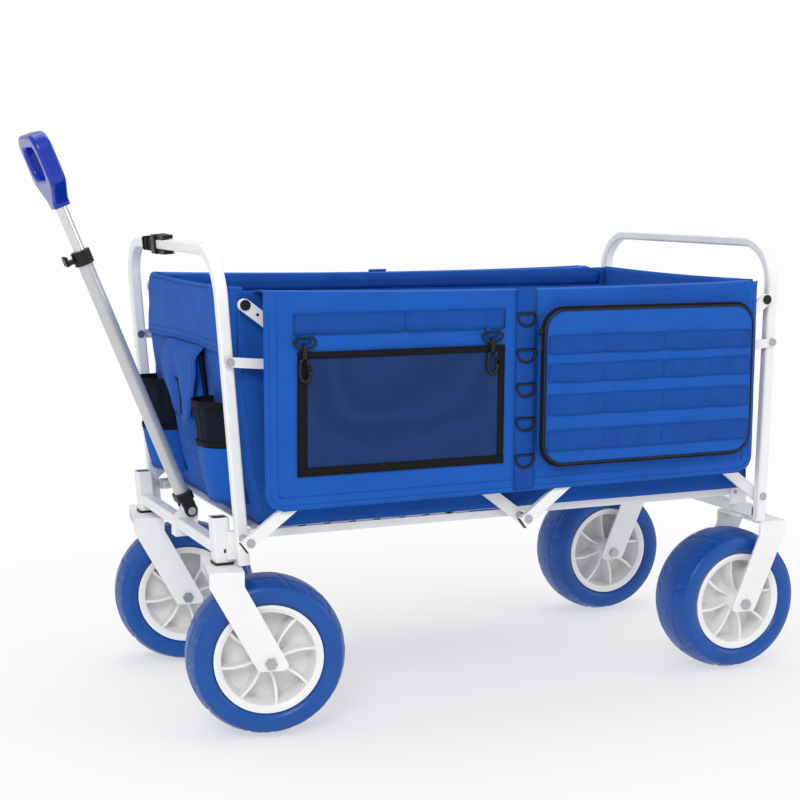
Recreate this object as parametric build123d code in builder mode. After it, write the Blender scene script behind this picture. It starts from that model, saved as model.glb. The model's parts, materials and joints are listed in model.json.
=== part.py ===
"""Folding beach cart: two tube hoops joined by double scissor links on each side, a fabric
bin, balloon tyres on four forks, and a telescopic pull handle.

Millimetres. +X runs from the pull handle to the rear, +Z is up, and the origin lies on the
ground under the middle of the cart's box. Left is the -Y side, right is the +Y side.
"""

from build123d import *
import math
import os

# ---------------------------------------------------------------- driving dimensions
MID_X = 92.503           # middle of the scissor frame, measured from the middle of the box
HALF_SPAN = 500.0        # from that middle to the lower pivots of either hoop
PIVOT_Z = 331.0          # height of the lower pivots
RISE = 378.0             # height of the upper link ends above the lower pivots
FRONT_X = MID_X - HALF_SPAN
REAR_X = MID_X + HALF_SPAN
TOP_Z = PIVOT_Z + RISE
CROSS_Z = PIVOT_Z + RISE / 2
SIDES = (-1, 1)

FRONT_LEAN = 4.6         # degrees that the front hoop leans forward
REAR_LEAN = 1.0          # degrees that the rear hoop leans back
FRONT_LEG_Y = 259.5      # leg centre lines, either side of the middle plane
REAR_LEG_Y = 284.5
TUBE_LONG = 20.0         # hoop tube, fore and aft
TUBE_WIDE = 17.0         # hoop tube, in the plane of the hoop
TUBE_WALL = 1.5
FRONT_TOP = 800.0
REAR_TOP = 805.0
HOOP_BEND = 75.0         # centre-line radius of the hoop's corners
FRONT_LEG_BOTTOM = 286.0

LINK_WIDE = 20.0         # scissor link tube, in the plane of the scissor
LINK_THICK = 9.0
LINK_WALL = 1.2
LINK_OVERHANG = 12.0     # square end beyond its pivot
INNER_LAYER = 264.5      # where the inner and outer link layers begin
OUTER_LAYER = 298.0

PIN_R = 4.0
PIN_HOLE_R = 4.05
SHOULDER_R = 7.0
HEAD_R = 7.0
HEAD_THICK = 2.0

TIE_WIDE = 16.0
TIE_THICK = 4.0
TIE_BOLT_Z = 617.0       # height of the bolts that hold the tie bars to the legs
FRONT_TIE_REACH = 139.68 # tie bar's far pivot, back from the lower pivot
FRONT_TIE_END_Z = 603.4
REAR_TIE_REACH = 144.79
REAR_TIE_END_Z = 599.54
FRONT_TIE_Y = 274.0
REAR_TIE_Y = 293.5

WHEEL_R = 131.5
WHEEL_TRACK = 229.5      # caster stem and wheel plane, either side of the middle plane
TYRE_HALF = 50.0
RIM_R = 90.0
RIM_HALF = 45.0
HUB_R = 20.0
HUB_HALF = 61.0
AXLE_R = 6.0
AXLE_HOLE_R = 6.05
RIBS = 8
RIB_THICK = 4.4

FORK_TOP = 284.0
FORK_BEND_Z = 260.0      # where the side plates begin to slant
FORK_IN = 64.0           # inner faces of the fork's plates
FORK_PLATE = 4.0
FORK_WIDE = 48.0
CROWN_LONG = 56.0
FRONT_TRAIL = 70.0       # axle behind the caster stem
REAR_FORK_SHIFT = -56.0  # axle ahead of the rear crown's middle
STEM_X = FRONT_X - 23.0
CASTER_TURN = -11.3      # degrees that the casters are swung at rest
REAR_AXLE_X = REAR_X - 34.0
REAR_CROWN_X = REAR_AXLE_X - REAR_FORK_SHIFT
REAR_BAR_X = REAR_X - 3.0
REAR_BAR_BOTTOM = 290.0
STEM_R = 8.0
STEM_TOP = 336.0
SLEEVE_SIDE = 28.0
SLEEVE_BOTTOM = 288.0
SLEEVE_TOP = 362.0

HANDLE_X = FRONT_X - 9.5
HANDLE_Z = 330.0
HANDLE_TILT = 22.1       # degrees forward of upright
OUTER_TUBE_R = 12.5
INNER_TUBE_R = 9.5
COLLAR_START = 465.0     # distances along the handle from its pivot
COLLAR_END = 489.0
GRIP_START = 568.0
GRIP_LONG = 128.0
GRIP_HALF = 65.0
GRIP_THICK = 28.0
INNER_TUBE_START = 80.0
GRIP_ROUND = 6.0
EAR_IN = 13.5
EAR_R = 11.0
LEVER_PIVOT = (-20.5, 476.5)

FLOOR_HINGE = 20.0       # floor hinges stand this far in from the lower pivots
RAIL = 13.0
FRONT_RAIL_Y = 232.0
REAR_RAIL_Y = 217.5
SLAT_WIDE = 34.0
SLAT_PITCH = 45.0
SLAT_COUNT = 9
SLAT_THICK = 2.5

PANEL_Y = 309.5          # inner face of the outside panels
PANEL_THICK = 3.0
PANEL_FRONT = MID_X - 480.0
PANEL_REAR = MID_X + 455.0
PANEL_BOTTOM = 378.0
RIM_Z = 730.0
BIN_HALF = 257.0
BIN_SKIN = 3.0
BIN_FLOOR = 341.5
WALL_FOOT_Z = 345.0
WALL_FOOT_X = FRONT_X + 10.0
WALL_TOP_X = FRONT_X - 13.0
FRONT_WALL_HALF = 248.0
REAR_WALL_X = REAR_X - 14.0
CUP_X = FRONT_X + 3.0
CUP_Y = 165.0
CUP_R = 50.0
CUP_FLOOR = 375.0
CUP_TOP = 545.0
POCKET_X = MID_X + 223.5
POCKET_Z = 558.5
FOLD_RINGS_X = MID_X - 15.0


# ---------------------------------------------------------------- shared shapes
def upright(y):
    """Upright plane across the cart's width: local x is the cart's x and local y is its z."""
    return Plane(origin=(0, y, 0), x_dir=(1, 0, 0), z_dir=(0, -1, 0))


def side_plane(x, z, y, side, x_dir=(1, 0, 0)):
    """Upright plane across the cart's width, facing outwards on the given side."""
    return Plane(origin=(x, side * y, z), x_dir=x_dir, z_dir=(0, side, 0))


def rod(x, z, start, end, radius, side, mode=Mode.ADD):
    """Round bar along Y between two distances from the middle plane."""
    with BuildSketch(side_plane(x, z, start, side)) as section:
        Circle(radius)
    extrude(section.sketch, amount=end - start, mode=mode)


def cross_drill(x, z, radius):
    """Hole along Y through everything at one place."""
    with BuildSketch(Plane.XZ) as section:
        with Locations((x, z)):
            Circle(radius)
    extrude(section.sketch, amount=400, both=True, mode=Mode.SUBTRACT)


def save(piece, name):
    piece.part.label = name
    export_step(piece.part, f"parts/{name}.step")


def hoop(x, lean, leg_y, bottom, top):
    """Hollow tube bent into an upside-down U in a plane that leans by the given angle."""
    slope = math.radians(lean)
    plane = Plane(origin=(x, 0, PIVOT_Z), x_dir=(0, 1, 0), z_dir=(math.cos(slope), 0, math.sin(slope)))
    low = (bottom - PIVOT_Z) / math.cos(slope)
    high = (top - PIVOT_Z) / math.cos(slope) - TUBE_WIDE / 2
    with BuildLine(plane) as route:
        FilletPolyline((-leg_y, low), (-leg_y, high), (leg_y, high), (leg_y, low), radius=HOOP_BEND)
    start = route.wires()[0]
    with BuildSketch(Plane(origin=start @ 0, x_dir=plane.z_dir, z_dir=start % 0)) as section:
        RectangleRounded(TUBE_LONG, TUBE_WIDE, 4)
        RectangleRounded(TUBE_LONG - 2 * TUBE_WALL, TUBE_WIDE - 2 * TUBE_WALL, 2.5, mode=Mode.SUBTRACT)
    sweep(section.sketch, path=start)


def leg_x(z, x, lean):
    """Where a leaning leg's centre line is at a height; a positive lean is towards -X."""
    return x - (z - PIVOT_Z) * math.tan(math.radians(lean))


def heading(start, end):
    """Direction from one point of the side view to another."""
    return Vector(end[0] - start[0], 0, end[1] - start[1]).normalized()


def link_tube(start, end, layer):
    """One scissor link tube on each side, square beyond its start and round at its end."""
    run = math.dist(start, end)
    for side in SIDES:
        foot = side_plane(start[0], start[1], layer, side, heading(start, end))
        with BuildSketch(foot) as outside:
            with Locations(((run - LINK_OVERHANG) / 2, 0)):
                Rectangle(run + LINK_OVERHANG, LINK_WIDE)
            with Locations((run, 0)):
                Circle(LINK_WIDE / 2)
        extrude(outside.sketch, amount=LINK_THICK)
        with BuildSketch(foot.offset(LINK_WALL)) as hollow:
            with Locations(((run - LINK_OVERHANG) / 2 - 4, 0)):
                Rectangle(run + LINK_OVERHANG, LINK_WIDE - 2 * LINK_WALL)
        extrude(hollow.sketch, amount=LINK_THICK - 2 * LINK_WALL, mode=Mode.SUBTRACT)


def shoulder_bolt(x, z, first, shoulder_start, shoulder_end, last, side):
    """Pivot bolt along Y: thin through both outer pieces, thick between them, a head at each end."""
    rod(x, z, first, last, PIN_R, side)
    rod(x, z, shoulder_start, shoulder_end, SHOULDER_R, side)
    rod(x, z, last, last + HEAD_THICK, HEAD_R, side)
    rod(x, z, first - HEAD_THICK, first, HEAD_R, side)


# ---------------------------------------------------------------- front frame
FRONT_TIE_X = leg_x(TIE_BOLT_Z, FRONT_X, FRONT_LEAN)
REAR_TIE_X = leg_x(TIE_BOLT_Z, REAR_X, -REAR_LEAN)
LUG_IN = 245.5


def build_front_hoop():
    with BuildPart() as front_hoop:
        hoop(FRONT_X, FRONT_LEAN, FRONT_LEG_Y, FRONT_LEG_BOTTOM, FRONT_TOP)
        for side in SIDES:
            with BuildSketch(side_plane(FRONT_X + 20, PIVOT_Z, LUG_IN, side)):
                with Locations((-1, 0)):
                    RectangleRounded(22, 20, 3)
            extrude(amount=FRONT_LEG_Y - TUBE_WIDE / 2 - LUG_IN + 0.5)
        cross_drill(FRONT_X, PIVOT_Z, PIN_HOLE_R)
        cross_drill(FRONT_TIE_X, TIE_BOLT_Z, PIN_HOLE_R)
        cross_drill(FRONT_X + FLOOR_HINGE, PIVOT_Z, PIN_R)
    save(front_hoop, "front_hoop")


CROSSBAR_Z = 308.0


def build_front_crossbar():
    """Tube between the two caster sleeves that carries the handle's bracket."""
    with BuildPart() as front_crossbar:
        with BuildSketch(Plane.XZ):
            with Locations((STEM_X, CROSSBAR_Z)):
                RectangleRounded(22, 20, 3)
                RectangleRounded(19, 17, 2, mode=Mode.SUBTRACT)
        extrude(amount=WHEEL_TRACK - SLEEVE_SIDE / 2, both=True)
    save(front_crossbar, "front_crossbar")


def leaning_prism(side, inset, mode=Mode.ADD):
    """Square bar for a caster sleeve or its bore, sheared forward as it rises."""
    lean = math.tan(math.radians(FRONT_LEAN))
    sections = []
    for z in (SLEEVE_BOTTOM, SLEEVE_TOP):
        with BuildSketch(Plane.XY.offset(z)) as section:
            with Locations((STEM_X - (z - SLEEVE_BOTTOM) * lean, side * WHEEL_TRACK)):
                RectangleRounded(SLEEVE_SIDE - 2 * inset, SLEEVE_SIDE - 2 * inset, 4 - inset)
        sections.append(section.sketch.faces()[0])
    loft(sections, ruled=True, mode=mode)


def build_caster_sleeves():
    with BuildPart() as caster_sleeves:
        for side in SIDES:
            leaning_prism(side, 0)
            with BuildSketch(Plane.XY.offset(SLEEVE_BOTTOM + 6)):
                with Locations((FRONT_X - 12, side * 246.75)):
                    Rectangle(18, 8.5)
            extrude(amount=46)
        for side in SIDES:
            leaning_prism(side, 1.5, Mode.SUBTRACT)
        cross_drill(FRONT_X, PIVOT_Z, HEAD_R + 0.6)
    save(caster_sleeves, "caster_sleeves")


def build_caster_bushes():
    """Plastic blocks inside the sleeves in which the fork's stems turn."""
    lean = math.tan(math.radians(FRONT_LEAN))
    with BuildPart() as caster_bushes:
        for side in SIDES:
            for z in (SLEEVE_BOTTOM + 1, STEM_TOP - 14):
                with BuildSketch(Plane.XY.offset(z)):
                    with Locations((STEM_X - (z + 6 - SLEEVE_BOTTOM) * lean, side * WHEEL_TRACK)):
                        RectangleRounded(SLEEVE_SIDE - 4.1, SLEEVE_SIDE - 3.1, 3)
                    with Locations((STEM_X, side * WHEEL_TRACK)):
                        Circle(STEM_R + 0.05, mode=Mode.SUBTRACT)
                extrude(amount=12)
    save(caster_bushes, "caster_bushes")


def build_caster_washers():
    with BuildPart() as caster_washers:
        for side in SIDES:
            with BuildSketch(Plane.XY.offset(FORK_TOP + 0.2)):
                with Locations((STEM_X, side * WHEEL_TRACK)):
                    RectangleRounded(SLEEVE_SIDE + 4, SLEEVE_SIDE + 4, 5)
                    Circle(STEM_R + 0.05, mode=Mode.SUBTRACT)
            extrude(amount=SLEEVE_BOTTOM - FORK_TOP - 0.2)
    save(caster_washers, "caster_washers")


BRACKET_HALF = 13.0


def build_handle_bracket():
    """Block in front of the crossbar with a round top that the handle's pivot goes through."""
    with BuildPart() as handle_bracket:
        with BuildSketch(Plane.XZ):
            with BuildLine():
                Polyline(
                    (STEM_X - 14, PIVOT_Z - 46),
                    (STEM_X - 14, CROSSBAR_Z + 5),
                    (HANDLE_X - 13, HANDLE_Z),
                )
                CenterArc((HANDLE_X, HANDLE_Z), 13, 180, -180)
                Polyline(
                    (HANDLE_X + 13, HANDLE_Z),
                    (HANDLE_X + 13, PIVOT_Z - 46),
                    (STEM_X - 14, PIVOT_Z - 46),
                )
            make_face()
        extrude(amount=BRACKET_HALF, both=True)
        with BuildSketch(Plane.XZ):
            with Locations((STEM_X, CROSSBAR_Z)):
                RectangleRounded(22.1, 20.1, 3)
        extrude(amount=BRACKET_HALF, both=True, mode=Mode.SUBTRACT)
        cross_drill(HANDLE_X, HANDLE_Z, PIN_HOLE_R)
    save(handle_bracket, "handle_bracket")


def build_front_leg_plugs():
    with BuildPart() as front_leg_plugs:
        for side in SIDES:
            with BuildSketch(Plane.XY.offset(FRONT_LEG_BOTTOM - 0.8)):
                with Locations((leg_x(FRONT_LEG_BOTTOM, FRONT_X, FRONT_LEAN), side * FRONT_LEG_Y)):
                    RectangleRounded(TUBE_LONG - 4.4, TUBE_WIDE - 3.8, 3)
            extrude(amount=9)
    save(front_leg_plugs, "front_leg_plugs")


def build_front_bolts():
    """Bolts fixed in the front frame: link, tie bar, floor and handle pivots."""
    leg_in = FRONT_LEG_Y - TUBE_WIDE / 2
    leg_out = FRONT_LEG_Y + TUBE_WIDE / 2
    with BuildPart() as front_bolts:
        for side in SIDES:
            shoulder_bolt(FRONT_X, PIVOT_Z, leg_in, leg_out, OUTER_LAYER - 0.3,
                          OUTER_LAYER + LINK_THICK + 0.2, side)
            shoulder_bolt(FRONT_TIE_X, TIE_BOLT_Z, leg_in, leg_out, FRONT_TIE_Y - 0.3,
                          FRONT_TIE_Y + TIE_THICK + 0.3, side)
            rod(FRONT_X + FLOOR_HINGE, PIVOT_Z, FRONT_RAIL_Y + 1, LUG_IN + 5, PIN_R - 0.01, side)
            rod(HANDLE_X, HANDLE_Z, 0, 19.2, PIN_R, side)
            rod(HANDLE_X, HANDLE_Z, 19.2, 21.2, HEAD_R, side)
    save(front_bolts, "front_bolts")


# ---------------------------------------------------------------- forks and wheels
def fork(x, y, shift, turn):
    """Bent-plate fork: a crown plate and two side plates that slant down to the axle."""
    aim = math.radians(turn)
    ahead = (math.cos(aim), math.sin(aim), 0)
    crown = Plane(origin=(x, y, FORK_TOP), x_dir=ahead, z_dir=(0, 0, 1))
    facing = Plane(origin=(x, y, 0), x_dir=ahead, z_dir=(math.sin(aim), -math.cos(aim), 0))
    with BuildSketch(crown) as top:
        RectangleRounded(CROWN_LONG, 2 * (FORK_IN + FORK_PLATE), 3)
    extrude(top.sketch, amount=-FORK_PLATE)
    slant = math.atan2(abs(shift), FORK_BEND_Z - WHEEL_R)
    half = FORK_WIDE / 2 / math.cos(slant)
    foot_z = WHEEL_R - 15 * math.cos(slant)
    foot_x = shift + math.copysign(15 * math.sin(slant), shift)
    for face in (-1, 1):
        with BuildSketch(facing.offset(face * (FORK_IN + FORK_PLATE / 2) - FORK_PLATE / 2)) as plate:
            with BuildLine():
                Polyline(
                    (-CROWN_LONG / 2, FORK_TOP - 1),
                    (CROWN_LONG / 2, FORK_TOP - 1),
                    (CROWN_LONG / 2, FORK_BEND_Z),
                    (foot_x + half, foot_z),
                    (foot_x - half, foot_z),
                    (-CROWN_LONG / 2, FORK_BEND_Z),
                    close=True,
                )
            make_face()
            fillet(plate.vertices().group_by(Axis.Y)[0], 9)
        extrude(plate.sketch, amount=FORK_PLATE)
    with BuildSketch(facing.offset(-100)) as bore:
        with Locations((shift, WHEEL_R)):
            Circle(AXLE_HOLE_R)
    extrude(bore.sketch, amount=200, mode=Mode.SUBTRACT)


def build_front_fork(side, name):
    """Swivelling fork with its stem."""
    with BuildPart() as front_fork:
        fork(STEM_X, side * WHEEL_TRACK, FRONT_TRAIL, CASTER_TURN)
        with BuildSketch(Plane.XY.offset(FORK_TOP - FORK_PLATE)):
            with Locations((STEM_X, side * WHEEL_TRACK)):
                Circle(STEM_R)
        extrude(amount=STEM_TOP - FORK_TOP + FORK_PLATE)
    save(front_fork, name)


def build_rear_forks():
    """Both fixed forks with the blocks that carry them under the rear crossbar."""
    with BuildPart() as rear_forks:
        for side in SIDES:
            fork(REAR_CROWN_X, side * WHEEL_TRACK, REAR_FORK_SHIFT, 0)
            with BuildSketch(Plane.XY.offset(FORK_TOP)):
                with Locations((REAR_BAR_X, side * WHEEL_TRACK)):
                    RectangleRounded(30, 30, 4)
            extrude(amount=REAR_BAR_BOTTOM - FORK_TOP)
    save(rear_forks, "rear_forks")


def wheel_places():
    """Centre and heading of every wheel: name, x, y, degrees."""
    turn = math.radians(CASTER_TURN)
    places = []
    for side, hand in ((-1, "left"), (1, "right")):
        x = STEM_X + FRONT_TRAIL * math.cos(turn)
        y = side * WHEEL_TRACK + FRONT_TRAIL * math.sin(turn)
        places.append(("front_" + hand, x, y, CASTER_TURN))
        places.append(("rear_" + hand, REAR_AXLE_X, side * WHEEL_TRACK, 0.0))
    return places


def axle_frame(x, y, turn):
    """Plane at a wheel's centre: local x runs along the axle and local y points up."""
    aim = math.radians(turn)
    return Plane(
        origin=(x, y, WHEEL_R),
        x_dir=(math.sin(aim), -math.cos(aim), 0),
        z_dir=(-math.cos(aim), -math.sin(aim), 0),
    )


def wheel_face(x, y, turn):
    """Plane at a wheel's centre square to its axle."""
    aim = math.radians(turn)
    return Plane(
        origin=(x, y, WHEEL_R),
        x_dir=(math.cos(aim), math.sin(aim), 0),
        z_dir=(math.sin(aim), -math.cos(aim), 0),
    )


def axle_bolt(x, y, turn):
    face = wheel_face(x, y, turn)
    reach = FORK_IN + FORK_PLATE
    with BuildSketch(face.offset(-reach)) as shank:
        Circle(AXLE_R)
    extrude(shank.sketch, amount=2 * reach)
    for level in (-reach - 5, reach):
        with BuildSketch(face.offset(level)) as head:
            RegularPolygon(10, 6)
        extrude(head.sketch, amount=5)


def build_front_axle(place):
    name, x, y, turn = place
    with BuildPart() as front_axle:
        axle_bolt(x, y, turn)
    save(front_axle, name.replace("front_", "front_axle_"))


def build_rear_axles():
    with BuildPart() as rear_axles:
        for name, x, y, turn in wheel_places():
            if name.startswith("rear"):
                axle_bolt(x, y, turn)
    save(rear_axles, "rear_axles")


def build_rim(place):
    """Plastic hub with a dished web and curved ribs on both faces."""
    name, x, y, turn = place
    section = axle_frame(x, y, turn)
    face = wheel_face(x, y, turn)
    with BuildPart() as rim:
        with BuildSketch(section) as profile:
            with BuildLine():
                Polyline(
                    (-HUB_HALF, AXLE_HOLE_R),
                    (HUB_HALF, AXLE_HOLE_R),
                    (HUB_HALF, 12),
                    (44, HUB_R),
                    (8, HUB_R + 4),
                    (5, RIM_R - 17),
                    (RIM_HALF - 3, RIM_R - 12),
                    (RIM_HALF, RIM_R - 5),
                    (RIM_HALF, RIM_R),
                    (-RIM_HALF, RIM_R),
                    (-RIM_HALF, RIM_R - 5),
                    (3 - RIM_HALF, RIM_R - 12),
                    (-5, RIM_R - 17),
                    (-8, HUB_R + 4),
                    (-44, HUB_R),
                    (-HUB_HALF, 12),
                    close=True,
                )
            make_face()
        revolve(axis=Axis(section.origin, section.x_dir))
        for level, reach in ((3.0, 35.0), (-3.0, -35.0)):
            with BuildSketch(face.offset(level)):
                with BuildLine():
                    for index in range(RIBS):
                        spoke = index * 360 / RIBS
                        ThreePointArc(
                            Vector(HUB_R - 4, 0).rotate(Axis.Z, spoke),
                            Vector(52, 0).rotate(Axis.Z, spoke + 13),
                            Vector(RIM_R - 6, 0).rotate(Axis.Z, spoke + 8),
                        )
                trace(line_width=RIB_THICK)
            extrude(amount=reach)
    save(rim, "rim_" + name)


def build_tyre(place):
    """Low-pressure balloon tyre, a hollow casing that sits on the rim."""
    name, x, y, turn = place
    section = axle_frame(x, y, turn)
    with BuildPart() as tyre:
        with BuildSketch(section):
            tyre_outline(0)
            tyre_outline(5, Mode.SUBTRACT)
        revolve(axis=Axis(section.origin, section.x_dir))
    save(tyre, "tyre_" + name)


def tyre_outline(inset, mode=Mode.ADD):
    """Section of the tyre, or of the air space inside it."""
    low = RIM_R + 0.1 + inset
    foot = RIM_HALF - 4 - inset
    shoulder = (TYRE_HALF - 13 - inset / 2, WHEEL_R - 6 - inset)
    with BuildLine() as outline:
        Line((-foot, low), (foot, low))
        ThreePointArc((foot, low), (TYRE_HALF - inset, RIM_R + 19), shoulder)
        ThreePointArc(shoulder, (0, WHEEL_R - inset), (-shoulder[0], shoulder[1]))
        ThreePointArc((-shoulder[0], shoulder[1]), (inset - TYRE_HALF, RIM_R + 19), (-foot, low))
    make_face(outline.edges(), mode=mode)


# ---------------------------------------------------------------- rear frame
def build_rear_hoop():
    with BuildPart() as rear_hoop:
        hoop(REAR_X, -REAR_LEAN, REAR_LEG_Y, FORK_TOP + 0.3, REAR_TOP)
        cross_drill(REAR_X, PIVOT_Z, PIN_HOLE_R)
        cross_drill(REAR_TIE_X, TIE_BOLT_Z, PIN_HOLE_R)
    save(rear_hoop, "rear_hoop")


def build_rear_crossbar():
    """Tube between the rear legs with two plates that carry the floor's hinges."""
    reach = REAR_LEG_Y - TUBE_WIDE / 2
    with BuildPart() as rear_crossbar:
        with BuildSketch(Plane.XZ):
            with Locations((REAR_BAR_X, REAR_BAR_BOTTOM + 10)):
                RectangleRounded(20, 20, 3)
                RectangleRounded(17, 17, 2, mode=Mode.SUBTRACT)
        extrude(amount=reach, both=True)
        for side in SIDES:
            with BuildSketch(upright(side * (REAR_RAIL_Y + RAIL + 0.5))):
                with BuildLine():
                    Polyline(
                        (REAR_BAR_X + 8, REAR_BAR_BOTTOM + 18),
                        (REAR_X - FLOOR_HINGE - 10, REAR_BAR_BOTTOM + 18),
                        (REAR_X - FLOOR_HINGE - 10, PIVOT_Z + 10),
                        (REAR_X - FLOOR_HINGE + 10, PIVOT_Z + 10),
                        (REAR_BAR_X + 8, PIVOT_Z - 8),
                        close=True,
                    )
                make_face()
            extrude(amount=-side * 5)
        cross_drill(REAR_X - FLOOR_HINGE, PIVOT_Z, PIN_R)
    save(rear_crossbar, "rear_crossbar")


def build_rear_bolts():
    """Bolts fixed in the rear legs: lower link pivots, tie bar pivots and floor hinges."""
    leg_in = REAR_LEG_Y - TUBE_WIDE / 2
    leg_out = REAR_LEG_Y + TUBE_WIDE / 2
    inner = INNER_LAYER
    with BuildPart() as rear_bolts:
        for side in SIDES:
            rod(REAR_X, PIVOT_Z, inner - 0.3, leg_out, PIN_R, side)
            rod(REAR_X, PIVOT_Z, inner - 0.3 - HEAD_THICK, inner - 0.3, HEAD_R, side)
            rod(REAR_X, PIVOT_Z, inner + LINK_THICK + 0.3, leg_in, SHOULDER_R, side)
            rod(REAR_X, PIVOT_Z, leg_out, leg_out + HEAD_THICK, HEAD_R, side)
            rod(REAR_TIE_X, TIE_BOLT_Z, leg_in, REAR_TIE_Y + TIE_THICK + 0.3, PIN_R, side)
            rod(REAR_TIE_X, TIE_BOLT_Z, leg_in - HEAD_THICK, leg_in, HEAD_R, side)
            rod(REAR_TIE_X, TIE_BOLT_Z, REAR_TIE_Y + TIE_THICK + 0.3, REAR_TIE_Y + TIE_THICK + 2.8,
                HEAD_R, side)
            rod(REAR_X - FLOOR_HINGE, PIVOT_Z, REAR_RAIL_Y + 1, REAR_RAIL_Y + RAIL + 5, PIN_R - 0.01, side)
    save(rear_bolts, "rear_bolts")


# ---------------------------------------------------------------- scissor links
FRONT_LOW = (FRONT_X, PIVOT_Z)
REAR_LOW = (REAR_X, PIVOT_Z)
MIDDLE_LOW = (MID_X, PIVOT_Z)
MIDDLE_TOP = (MID_X, TOP_Z)
FRONT_FREE = (FRONT_X, TOP_Z)
REAR_FREE = (REAR_X, TOP_Z)
LINK_RUN = math.dist(MIDDLE_LOW, FRONT_FREE)
FREE_CUT = 5.0           # how far the free upper ends stop short of full length
REAR_CUT = 22.0


def shortened(start, end, cut):
    """Point on the line from start to end, a distance before its end."""
    part_way = 1 - cut / math.dist(start, end)
    return (start[0] + (end[0] - start[0]) * part_way, start[1] + (end[1] - start[1]) * part_way)


def build_link(name, start, end, layer, holes):
    with BuildPart() as scissor_link:
        link_tube(start, end, layer)
        for x, z in holes:
            cross_drill(x, z, PIN_HOLE_R)
    save(scissor_link, name)


def build_link_caps(name, start, end, layer):
    """Plug in the square end and round cap on the outside of the other end, each side."""
    with BuildPart() as caps:
        for side in SIDES:
            foot = side_plane(start[0], start[1], layer, side, heading(start, end))
            with BuildSketch(foot):
                with Locations((-LINK_OVERHANG - 1, 0)):
                    Rectangle(2, LINK_WIDE)
            extrude(amount=LINK_THICK)
            with BuildSketch(foot.offset(LINK_WALL)):
                with Locations((-LINK_OVERHANG + 2.5, 0)):
                    Rectangle(7, LINK_WIDE - 2 * LINK_WALL)
            extrude(amount=LINK_THICK - 2 * LINK_WALL)
            if end != MIDDLE_TOP:
                rod(end[0], end[1], layer + LINK_THICK, layer + LINK_THICK + 2, 8.5, side)
    save(caps, name)


def build_cross_pins(name, places):
    """Fixed pivot bolts that hold two crossing links apart: (x, z, inner layer, outer layer)."""
    with BuildPart() as pins:
        for side in SIDES:
            for x, z, inner, outer in places:
                shoulder_bolt(x, z, inner - 0.3, inner + LINK_THICK + 0.1, outer - 0.1,
                              outer + LINK_THICK + 0.2, side)
    save(pins, name)


def tie_bar(start, end, level):
    """Flat bar with round ends on each side, drilled at its start."""
    along = (end[0] - start[0], 0, end[1] - start[1])
    for side in SIDES:
        centre = side_plane((start[0] + end[0]) / 2, (start[1] + end[1]) / 2, level, side, along)
        with BuildSketch(centre) as bar:
            SlotCenterToCenter(math.dist(start, end), TIE_WIDE)
        extrude(bar.sketch, amount=TIE_THICK)
    cross_drill(start[0], start[1], PIN_HOLE_R)


def build_ties():
    with BuildPart() as tie_front:
        tie_bar((FRONT_TIE_X, TIE_BOLT_Z), (FRONT_X + FRONT_TIE_REACH, FRONT_TIE_END_Z), FRONT_TIE_Y)
    save(tie_front, "tie_front")
    with BuildPart() as tie_rear:
        tie_bar((REAR_TIE_X, TIE_BOLT_Z), (REAR_X - REAR_TIE_REACH, REAR_TIE_END_Z), REAR_TIE_Y)
    save(tie_rear, "tie_rear")


# ---------------------------------------------------------------- folding floor
def build_floor_half(name, hinge_x, toward, rail_y):
    """Two square rails and their cross tubes; one half of the folding floor."""
    end_x = MID_X + 4 * toward
    low = min(hinge_x - 10 * toward, end_x)
    high = max(hinge_x - 10 * toward, end_x)
    with BuildPart() as floor:
        for side in SIDES:
            with BuildSketch(upright(side * rail_y)):
                with Locations(((low + high) / 2, PIVOT_Z)):
                    Rectangle(high - low, RAIL)
            extrude(amount=-side * RAIL)
        for reach in (60, 368):
            with BuildSketch(Plane.XZ):
                with Locations((hinge_x + reach * toward, PIVOT_Z)):
                    Rectangle(16, RAIL)
            extrude(amount=rail_y + 1, both=True)
        cross_drill(hinge_x, PIVOT_Z, PIN_HOLE_R)
    save(floor, name)


def build_slats(name, hinge_x, toward, rail_y):
    """Wooden-board floor slats across one pair of rails."""
    with BuildPart() as slats:
        with BuildSketch(Plane.XY.offset(PIVOT_Z + RAIL / 2)):
            for index in range(SLAT_COUNT):
                with Locations((hinge_x + toward * (24 + index * SLAT_PITCH), 0)):
                    RectangleRounded(SLAT_WIDE, 2 * (rail_y + RAIL) - 6, 3)
        extrude(amount=SLAT_THICK)
    save(slats, name)


# ---------------------------------------------------------------- pull handle
HANDLE = Plane(
    origin=(HANDLE_X, 0, HANDLE_Z),
    x_dir=(math.cos(math.radians(HANDLE_TILT)), 0, math.sin(math.radians(HANDLE_TILT))),
    z_dir=(-math.sin(math.radians(HANDLE_TILT)), 0, math.cos(math.radians(HANDLE_TILT))),
)
GRIP_FACE = Plane(origin=HANDLE.origin, x_dir=(0, 1, 0), z_dir=HANDLE.x_dir)
LEVER_FACE = Plane(origin=HANDLE.origin, x_dir=HANDLE.x_dir, z_dir=(0, -1, 0))


def build_hinge_cap():
    """Clevis at the foot of the handle: a socket for the tube and two ears."""
    with BuildPart() as hinge_cap:
        with BuildSketch(HANDLE.offset(20)):
            RectangleRounded(30, 38, 6)
        extrude(amount=14)
        fillet(hinge_cap.edges().group_by(Axis(HANDLE.origin, HANDLE.z_dir))[-1], 3)
        for side in SIDES:
            with BuildSketch(side_plane(HANDLE_X, HANDLE_Z, EAR_IN, side, HANDLE.z_dir)):
                Circle(EAR_R)
                with Locations((11, 0)):
                    Rectangle(22, 2 * EAR_R)
            extrude(amount=19 - EAR_IN)
        with BuildSketch(HANDLE.offset(24)):
            Circle(OUTER_TUBE_R)
        extrude(amount=40, mode=Mode.SUBTRACT)
        cross_drill(HANDLE_X, HANDLE_Z, PIN_HOLE_R)
    save(hinge_cap, "hinge_cap")


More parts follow.
